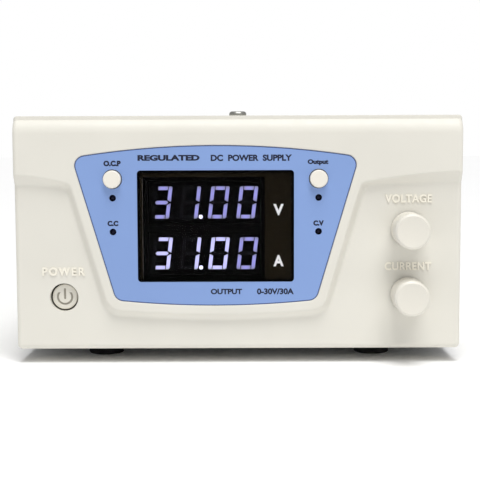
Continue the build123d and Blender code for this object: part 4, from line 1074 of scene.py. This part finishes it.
# ---------------------------------------------------------------- sub-assemblies
@dataclass
class Studio:
    """A pale floor, soft lights and the camera."""

    floor_span: float = 8.0
    surroundings: float = 0.37
    lens: float = 87.3
    camera_at: Point = (0.0027, -0.6620, 0.1049)
    pitch: float = 5.38
    yaw: float = -0.2
    roll: float = -0.21
    key_at: Point = (0.5, -1.1, 1.1)
    key_towards: Point = (0.0, -0.12, 0.05)
    key_size: Flat = (0.4, 0.4)
    key_power: float = 3.4
    sky_from: Point = (0.04, -0.33, 0.94)
    sky_strength: float = 2.22
    sky_spread: float = 30.0

    def floor(self) -> None:
        """Lays the floor."""
        half = self.floor_span / 2
        mesh = bpy.data.meshes.new("floor")
        corners = [(-half, -half, 0), (half, -half, 0), (half, half, 0), (-half, half, 0)]
        mesh.from_pydata(corners, [], [(0, 1, 2, 3)])
        shader = Shader("floor_paint")
        shader.set(Specular_IOR_Level=0.15)
        shade = shader.mixed(shader.noise(0.7, 2.0), (0.975, 0.975, 0.975), (0.985, 0.985, 0.985))
        mesh.materials.append(shader.finish(shade, shader.remap(shader.noise(3.0), 0.7, 0.8)))
        floor = bpy.data.objects.new("floor", mesh)
        bpy.context.scene.collection.objects.link(floor)

    def light(self, name: str, at: Point, towards: Point, size: Flat, power: float) -> None:
        """Hangs a soft rectangular light.

        Args:
            name: Its name.
            at: Where it hangs.
            towards: The point that it faces.
            size: Its width and height.
            power: Its power in watts.
        """
        lamp = bpy.data.lights.new(name, "AREA")
        lamp.shape = "RECTANGLE"
        lamp.size, lamp.size_y = size
        lamp.energy = power
        holder = bpy.data.objects.new(name, lamp)
        holder.location = at
        holder.rotation_euler = (Vector(towards) - Vector(at)).to_track_quat("-Z", "Y").to_euler()
        bpy.context.scene.collection.objects.link(holder)

    def daylight(self, towards: Point, strength: float, spread: float) -> None:
        """Lights everything evenly from one side of the sky.

        Args:
            towards: The direction of the light's source.
            strength: Its strength in watts a square metre.
            spread: The angle that the source fills, in degrees.
        """
        lamp = bpy.data.lights.new("daylight", "SUN")
        lamp.energy = strength
        lamp.angle = math.radians(spread)
        holder = bpy.data.objects.new("daylight", lamp)
        holder.rotation_euler = (-Vector(towards)).to_track_quat("-Z", "Y").to_euler()
        bpy.context.scene.collection.objects.link(holder)

    def lights(self) -> None:
        """Sets the lights and the plain white surroundings."""
        self.light("key", self.key_at, self.key_towards, self.key_size, self.key_power)
        self.daylight(self.sky_from, self.sky_strength, self.sky_spread)
        world = bpy.data.worlds.new("surroundings")
        world.use_nodes = True
        tree = world.node_tree
        background = tree.nodes["Background"]
        background.inputs["Color"].default_value = (1, 1, 1, 1)
        seen = tree.nodes.new("ShaderNodeLightPath")
        strength = tree.nodes.new("ShaderNodeMapRange")
        strength.inputs["To Min"].default_value = self.surroundings
        strength.inputs["To Max"].default_value = 1.0
        tree.links.new(seen.outputs["Is Camera Ray"], strength.inputs["Value"])
        tree.links.new(strength.outputs["Result"], background.inputs["Strength"])
        bpy.context.scene.world = world

    def camera(self) -> None:
        """Sets up the camera."""
        pitch, yaw, roll = (math.radians(angle) for angle in (self.pitch, self.yaw, self.roll))
        forward = Vector((math.sin(yaw) * math.cos(pitch), math.cos(yaw) * math.cos(pitch), -math.sin(pitch)))
        level = Vector((math.cos(yaw), -math.sin(yaw), 0))
        upright = level.cross(forward)
        right = math.cos(roll) * level + math.sin(roll) * upright
        above = -math.sin(roll) * level + math.cos(roll) * upright
        turn = Matrix((right, above, -forward)).transposed()
        lens = bpy.data.cameras.new("camera")
        lens.lens = self.lens
        lens.sensor_width = 36.0
        holder = bpy.data.objects.new("camera", lens)
        holder.matrix_world = Matrix.Translation(self.camera_at) @ turn.to_4x4()
        bpy.context.scene.collection.objects.link(holder)
        bpy.context.scene.camera = holder

    def build(self) -> None:
        """Builds the studio."""
        bpy.context.scene.view_settings.view_transform = "Standard"
        self.camera()
        self.floor()
        self.lights()


@dataclass
class FrontPanel:
    """The moulded bezel with its raised words, and the printed overlay."""

    relief: float = 0.5 * MM
    edge_line: float = 0.3 * MM
    word_height: float = 3.7 * MM
    word_weight: float = 0.035
    lamp_flange: float = 1.9 * MM
    near_window: float = 3 * MM
    column_half: float = 7 * MM
    column_above: float = 15 * MM
    top_strip: float = 8 * MM

    def bezel(self) -> None:
        """Replaces the CAD bezel with a smoothly shaded copy and adds the moulded words."""
        refined_copy("front_bezel", "moulded_bezel", Finish.IVORY)
        low_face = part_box("encoder_nuts")[1].y
        for word, control, rise, width, spacing in (
            ("POWER", "power_button", 11.8 * MM, 19.2 * MM, 1.35),
            ("VOLTAGE", "voltage_knob", 13.7 * MM, 20.9 * MM, 1.12),
            ("CURRENT", "current_knob", 12.7 * MM, 20.9 * MM, 1.08),
        ):
            at = middle_of(control)
            lettering = Lettering(
                word, (at.x, at.z + rise), width, self.word_height, low_face,
                self.relief, self.word_weight, spacing,
            )
            # The raised words take the lighter ivory: painted light.
            piece(f"moulded_{word.lower()}", lettering.mesh(), Finish.IVORY_RAISED_PAINTED_LIGHT)

    def overlay(self) -> None:
        """Makes the blue film with a darker printed line along its edge."""
        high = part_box("front_overlay")[1]
        window_low, window_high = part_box("display_window")
        led_low, led_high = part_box("indicator_leds")
        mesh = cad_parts["front_overlay"].data.copy()
        work = merged(mesh)
        front = [face for face in work.faces if face.normal.y < -0.9]
        inset = bmesh.ops.inset_region(work, faces=front, thickness=self.edge_line, use_even_offset=True)
        ring = inset["faces"]
        inner = self.near_window
        columns = (led_low.x + self.lamp_flange, led_high.x - self.lamp_flange)
        work.faces.index_update()
        edged = []
        for face in work.faces:
            face.smooth = False
        for face in ring:
            spot = face.calc_center_median()
            by_window = window_low.x - inner < spot.x < window_high.x + inner
            by_window = by_window and window_low.z - inner < spot.z < window_high.z + inner
            by_column = any(abs(spot.x - x) < self.column_half for x in columns)
            by_column = by_column and led_low.z - inner < spot.z < led_high.z + self.column_above
            if not by_window and not (by_column and spot.z < high.z - self.top_strip):
                edged.append(face.index)
        work.to_mesh(mesh)
        work.free()
        film = piece("printed_overlay", mesh, Finish.BLUE_FILM)
        mesh.materials.append(Finish.BLUE_EDGE.material)
        for index in edged:
            mesh.polygons[index].material_index = 1
        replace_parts(film, "front_overlay")

    def labels(self) -> None:
        """Prints the words on the overlay."""
        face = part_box("front_overlay")[0].y
        window_low, window_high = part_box("display_window")
        led_low, led_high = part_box("indicator_leds")
        left_lamp, right_lamp = led_low.x + self.lamp_flange, led_high.x - self.lamp_flange
        lamp_z = led_low.z + self.lamp_flange
        limit, output = middle_of("limit_button"), middle_of("output_button")
        left, right, top, bottom = window_low.x, window_high.x, window_high.z, window_low.z
        printed("printed_labels", face, (
            ("O.C.P", limit.x, limit.z + 7.0 * MM, 7.7, 2.5, 0.07),
            ("C.C", left_lamp, lamp_z + 3.8 * MM, 4.8, 2.4, 0.07),
            ("Output", output.x - 0.3 * MM, output.z + 7.2 * MM, 9.2, 2.7, 0.06),
            ("C.V", right_lamp, lamp_z + 3.7 * MM, 4.7, 2.4, 0.07),
            ("DC  POWER  SUPPLY", right - 18.9 * MM, top + 5.5 * MM, 36.0, 2.85, 0.045),
            ("REGULATED", left + 14.1 * MM, top + 5.6 * MM, 27.5, 2.6, 0.055),
            ("0-30V/30A", right - 8.3 * MM, bottom - 4.4 * MM, 16.5, 2.7, 0.042),
            ("OUTPUT", right - 30.2 * MM, bottom - 4.4 * MM, 14.0, 2.5, 0.042),
        ))

    def build(self) -> None:
        """Builds the front panel."""
        self.bezel()
        self.overlay()
        self.labels()


@dataclass
class DisplayUnit:
    """The tinted window with its printed mask, and the lit digits behind it."""

    digit_pitch: float = 12.8 * MM
    slant: float = 7.0
    slices: tuple[float, ...] = (-0.8, -0.5, 0.0, 0.5, 0.8)
    black_rim: float = 1.2 * MM
    ink: float = 0.03 * MM
    letter_x: float = 6.85 * MM
    letter_drop: float = 3.1 * MM
    letter_size: Flat = (4.6 * MM, 5.0 * MM)
    letter_weight: float = 0.04
    opening_left: float = 2.4 * MM
    opening_right: float = 2.9 * MM
    opening_edge: float = 1.6 * MM
    level_across: float = 1.2 * MM
    level_rise: float = 3 * MM
    point_span: float = 2.5 * MM
    shown: str = "3100"
    point_after: int = 1
    lit_bars: dict[str, str] = field(default_factory=lambda: {"3": "abcdg", "1": "bc", "0": "abcdef"})

    def which(self, x: float, z: float, small: bool) -> tuple[int, str]:
        """Names a bar of a row from its place.

        Args:
            x: Its centre across the row, from the row's middle, upright.
            z: Its centre's height over the row's middle.
            small: Whether it is a decimal point.

        Returns:
            The digit's place, 0 to 3, and the bar's letter, or "point".
        """
        place = math.floor(x / self.digit_pitch + 2)
        across = x - (place - 1.5) * self.digit_pitch
        if small:
            return place, "point"
        if abs(across) < self.level_across:
            return place, "a" if z > self.level_rise else "d" if z < -self.level_rise else "g"
        if across > 0:
            return place, "b" if z > 0 else "c"
        return place, "f" if z > 0 else "e"

    def finish_of(self, row: str, place: int, bar: str) -> Finish:
        """Chooses a bar's finish.

        Args:
            row: The row, "voltage" or "current".
            place: The digit's place, 0 to 3.
            bar: The bar's letter, or "point".

        Returns:
            The finish.
        """
        if bar == "point":
            return Finish.POINT if place == self.point_after else Finish.DIM_SEGMENT
        if bar not in self.lit_bars[self.shown[place]]:
            return Finish.DIM_SEGMENT
        if row == "current" and place < 3:
            return Finish.BRIGHT_SEGMENT
        return Finish.LIT_SEGMENT

    def sliced_bar(self, island: list[bmesh.types.BMFace], lean: float) -> Mesh:
        """Copies one bar, cut across in several places, with a glow attribute that falls towards its ends.

        Args:
            island: The bar's faces.
            lean: The tangent of the digits' slant.

        Returns:
            The bar's mesh.
        """
        work = bmesh.new()
        for face in island:
            work.faces.new([work.verts.new(vertex.co) for vertex in face.verts])
        bmesh.ops.remove_doubles(work, verts=work.verts, dist=MERGE)
        corners = [vertex.co for vertex in work.verts]
        low, high = extent(corners)
        middle = (low + high) / 2
        upright = high.z - low.z > high.x - low.x
        along = Vector((lean, 0, 1)).normalized() if upright else Vector((1, 0, 0))
        reach = max(abs((c - middle).dot(along)) for c in corners)
        for share in self.slices:
            everything = work.verts[:] + work.edges[:] + work.faces[:]
            cut = middle + along * reach * share
            bmesh.ops.bisect_plane(work, geom=everything, plane_co=cut, plane_no=along)
        glow = work.verts.layers.float.new("glow")
        for vertex in work.verts:
            share = abs((vertex.co - middle).dot(along)) / reach
            vertex[glow] = 1 - share**3
        return made_from(work, "bar")

    def digits(self, row: str) -> None:
        """Splits a row's CAD bars into lit and unlit pieces.

        Args:
            row: The row, "voltage" or "current".
        """
        centre = middle_of(f"{row}_display")
        lean = math.tan(math.radians(self.slant))
        source = merged(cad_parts[f"{row}_segments"].data)
        groups: dict[Finish, list[list[bmesh.types.BMFace]]] = {}
        seen: set[bmesh.types.BMFace] = set()
        for start in source.faces:
            if start in seen:
                continue
            island, waiting = [], [start]
            seen.add(start)
            while waiting:
                face = waiting.pop()
                island.append(face)
                for edge in face.edges:
                    for other in edge.link_faces:
                        if other not in seen:
                            seen.add(other)
                            waiting.append(other)
            low, high = extent([vertex.co for face in island for vertex in face.verts])
            z = (low.z + high.z) / 2 - centre.z
            x = (low.x + high.x) / 2 - centre.x - z * lean
            small = max(high.x - low.x, high.z - low.z) < self.point_span
            place, bar = self.which(x, z, small)
            groups.setdefault(self.finish_of(row, place, bar), []).append(island)
        for finish, islands in groups.items():
            name = f"{row}_{finish.name.lower()}"
            mesh = joined(name, [self.sliced_bar(island, lean) for island in islands])
            bars = piece(name, mesh, finish)
            if finish is Finish.LIT_SEGMENT:
                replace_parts(bars, f"{row}_segments")
        source.free()

    def mask(self) -> None:
        """Prints the black rim and the brown field on the back of the window, and the unit letters."""
        low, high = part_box("display_window")
        holder_low, holder_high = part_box("display_holder")
        back = high.y - self.ink
        opening = (
            holder_low.x + self.opening_left, holder_high.x - self.opening_right,
            holder_low.z + self.opening_edge, holder_high.z - self.opening_edge,
        )
        rim = self.black_rim

        def ring(outer: tuple[float, ...], inner: tuple[float, ...]) -> list[Mesh]:
            """Makes four strips between two rectangles.

            Args:
                outer: The outer rectangle's left, right, bottom and top.
                inner: The inner rectangle's.

            Returns:
                The strips.
            """
            strips = (
                (outer[0], inner[0], outer[2], outer[3]),
                (inner[1], outer[1], outer[2], outer[3]),
                (inner[0], inner[1], outer[2], inner[2]),
                (inner[0], inner[1], inner[3], outer[3]),
            )
            return [
                plate([(left, bottom), (right, bottom), (right, top), (left, top)], back, self.ink, "strip")
                for left, right, bottom, top in strips
            ]

        edge = (low.x, high.x, low.z, high.z)
        inside = (low.x + rim, high.x - rim, low.z + rim, high.z - rim)
        piece("window_black_rim", joined("window_black_rim", ring(edge, inside)), Finish.BLACK_INK)
        piece("window_brown_field", joined("window_brown_field", ring(inside, opening)), Finish.BROWN_INK)
        letters = []
        for letter, row in (("V", "voltage"), ("A", "current")):
            at = (high.x - self.letter_x, middle_of(f"{row}_display").z - self.letter_drop)
            lettering = Lettering(letter, at, *self.letter_size, back, self.ink, self.letter_weight)
            letters.append(lettering.mesh())
        piece("window_letters", joined("window_letters", letters), Finish.WHITE_INK)

    def build(self) -> None:
        """Builds the display."""
        dress(Finish.WINDOW, "display_window")
        self.mask()
        for row in ("voltage", "current"):
            self.digits(row)
        dress(Finish.DISPLAY_BLACK, "voltage_display", "current_display", "display_holder")


@dataclass
class Controls:
    """Buttons, knobs, indicator lamps and the switches behind them."""

    symbol_depth: float = 0.35 * MM
    symbol_slack: float = 0.02 * MM

    def power_symbol(self, button: bpy.types.Object) -> None:
        """Paints shade on the floor of the power button's engraved symbol.

        Args:
            button: The power button's finished copy.
        """
        button.data.materials.append(Finish.IVORY_PAINTED_SHADE.material)
        floor = min(vertex.co.y for vertex in button.data.vertices) + self.symbol_depth
        for polygon in button.data.polygons:
            if polygon.normal.y < -0.99 and abs(polygon.center.y - floor) < self.symbol_slack:
                polygon.material_index = 1

    def build(self) -> None:
        """Dresses the controls."""
        for node in ("voltage_knob", "current_knob"):
            refined_copy(node, f"satin_{node}", Finish.IVORY_KNOB, node)
        button = refined_copy("power_button", "satin_power_button", Finish.IVORY_KNOB, "power_button")
        self.power_symbol(button)
        for node in ("limit_button", "output_button"):
            refined_copy(node, f"white_{node}", Finish.WHITE_BUTTON, node)
        dress(Finish.LED, "indicator_leds")
        dress(Finish.BLACK, "tact_switches", "power_switch", "power_switch_plunger")
        dress(Finish.BLACK, "voltage_encoder_rotor", "current_encoder_rotor")
        dress(Finish.ZINC, "encoder_nuts", "voltage_encoder", "current_encoder")
        dress(Finish.STEEL, "voltage_shaft", "current_shaft")


@dataclass
class Case:
    """The steel cover and tray, their screws and the feet."""

    def build(self) -> None:
        """Dresses the case."""
        refined_copy("top_cover", "painted_cover", Finish.CASE)
        refined_copy("rubber_feet", "rubber_foot_set", Finish.RUBBER)
        dress(Finish.TRAY, "base_tray")
        dress(Finish.CASE, "rear_panel")
        dress(Finish.ZINC, "case_screws", "foot_screws", "fan_screws", "inlet_screws", "inner_screws")


@dataclass
class RearPanel:
    """The fan with its wire guard, the output terminals and the mains inlet."""

    guard_smoothing: float = 45.0

    def labels(self) -> None:
        """Prints the words beside the terminals and the inlet."""
        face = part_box("rear_panel")[1].y
        negative, positive = middle_of("negative_cap"), middle_of("positive_cap")
        inlet_low, inlet_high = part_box("mains_inlet")
        terminals, inlet = (negative.x + positive.x) / 2, (inlet_low.x + inlet_high.x) / 2
        printed("rear_labels", face, (
            ("DC OUTPUT", terminals, negative.z + 17 * MM, 24, 3.2, 0.01),
            ("0-30V/30A", terminals, negative.z - 15 * MM, 19, 2.8, 0.01),
            ("+", positive.x, positive.z + 12 * MM, 3, 3, 0.03),
            ("-", negative.x, negative.z + 12 * MM, 3, 0.7, 0.03),
            ("AC INPUT", inlet, inlet_high.z + 4 * MM, 20, 3.0, 0.01),
            ("FUSE", inlet, inlet_low.z - 4 * MM, 9, 2.6, 0.01),
        ), from_behind=True)

    def guard(self) -> None:
        """Gives the guard round bright wires."""
        refined_copy("fan_guard", "bright_fan_guard", Finish.CHROME, degrees=self.guard_smoothing)

    def build(self) -> None:
        """Dresses the rear."""
        self.labels()
        self.guard()
        refined_copy("fan_rotor", "fan_blades", Finish.BLACK, "fan_rotor")
        dress(Finish.BLACK, "fan_frame", "mains_inlet", "fuse_drawer", "post_insulators")
        dress(Finish.BRASS, "inlet_pins", "terminal_posts")
        dress(Finish.GLASS, "fuse")
        dress(Finish.COPPER, "busbars")
        dress(Finish.ZINC, "post_nuts", "negative_washer", "positive_washer")
        refined_copy("negative_cap", "black_terminal_cap", Finish.BLACK, "negative_cap")
        refined_copy("positive_cap", "red_terminal_cap", Finish.RED, "positive_cap")


@dataclass
class SupplyBoard:
    """The switching supply inside: its boards, power parts and wires."""

    joint_radius: float = 0.9 * MM
    joint_height: float = 0.7 * MM
    joint_pitch: float = 7.6 * MM
    joint_columns: int = 20
    joint_rows: int = 22
    joint_sides: int = 8
    choke_wire: float = 0.75 * MM
    choke_turns: int = 30
    core_inside: float = 2.4
    core_faces: tuple[int, int] = (48, 16)
    wire_faces: tuple[int, int] = (20, 6)
    wire_slack: float = 1.05
    resistor_radius: float = 1.2 * MM
    resistor_length: float = 6.4 * MM
    resistor_sides: int = 10
    resistor_lift: float = 1.6 * MM
    resistor_rounding: float = 0.5 * MM
    resistor_pitch: Flat = (10.0 * MM, 6.0 * MM)
    resistor_columns: int = 3
    resistor_rows: int = 6
    resistors_left: float = 11.0 * MM
    resistors_ahead: float = 54.0 * MM

    def solder(self) -> None:
        """Puts solder joints on the underside of the main board."""
        low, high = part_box("main_board")
        centre = (low + high) / 2
        joint = unit_dome(self.joint_radius, self.joint_height, self.joint_sides)
        joints = repeated(
            "solder_joints", joint, GridTree("solder_grid").tree, Finish.ZINC,
            Columns=self.joint_columns, Rows=self.joint_rows,
            Pitch_X=self.joint_pitch, Pitch_Y=self.joint_pitch,
            Turn=(math.pi, 0.0, 0.0), Centre=(centre.x, centre.y, low.z),
        )
        piece("solder_joints", joints, Finish.ZINC)

    def choke(self) -> None:
        """Winds the output choke with turns of enamelled wire round a ferrite ring."""
        low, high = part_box("output_choke")
        section = (high.z - low.z) / 2
        ring = (high.x - low.x) / 2 - section
        core = torus_mesh(ring, section - self.core_inside * self.choke_wire, *self.core_faces, False)
        for vertex in core.vertices:
            vertex.co += (low + high) / 2
        piece("choke_core", core, Finish.FERRITE)
        turn = torus_mesh(section - self.choke_wire * self.wire_slack, self.choke_wire, *self.wire_faces, True)
        turns = repeated(
            "choke_turns", turn, RingTree("choke_ring").tree, Finish.ENAMEL,
            Count=self.choke_turns, Radius=ring, Centre=tuple((low + high) / 2),
        )
        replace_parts(piece("choke_turns", turns, Finish.ENAMEL), "output_choke")

    def resistors(self) -> None:
        """Stands rows of small resistors on the free part of the main board."""
        low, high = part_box("main_board")
        lift = (0.0, 0.0, self.resistor_lift)
        body = rod_mesh(
            self.resistor_radius, self.resistor_length, self.resistor_sides, lift, self.resistor_rounding
        )
        middle = (low.x + high.x) / 2
        spot = (middle - self.resistors_left, high.y - self.resistors_ahead, high.z)
        across, along = self.resistor_pitch
        bodies = repeated(
            "small_resistors", body, GridTree("resistor_grid").tree, Finish.RESISTOR,
            Columns=self.resistor_columns, Rows=self.resistor_rows,
            Pitch_X=across, Pitch_Y=along, Centre=spot,
        )
        piece("small_resistors", bodies, Finish.RESISTOR)

    def build(self) -> None:
        """Dresses the inside."""
        dress(Finish.BOARD, "main_board", "display_board")
        dress(Finish.ZINC, "standoffs")
        dress(Finish.ALUMINIUM, "heatsinks")
        dress(Finish.FERRITE, "transformer_core")
        dress(Finish.TAPE, "transformer_winding")
        dress(Finish.SLEEVE, "bulk_capacitors", "output_capacitors")
        dress(Finish.GREY_CABLE, "ribbon_cable")
        dress(Finish.WIRE, "mains_wires", "fan_cable")
        self.solder()
        self.choke()
        self.resistors()


def main() -> None:
    """Builds the sub-assemblies in order."""
    logging.basicConfig(level=logging.INFO, format="%(name)s: %(message)s")
    for assembly in (Studio, FrontPanel, DisplayUnit, Controls, Case, RearPanel, SupplyBoard):
        assembly().build()


if __name__ == "__main__":
    main()
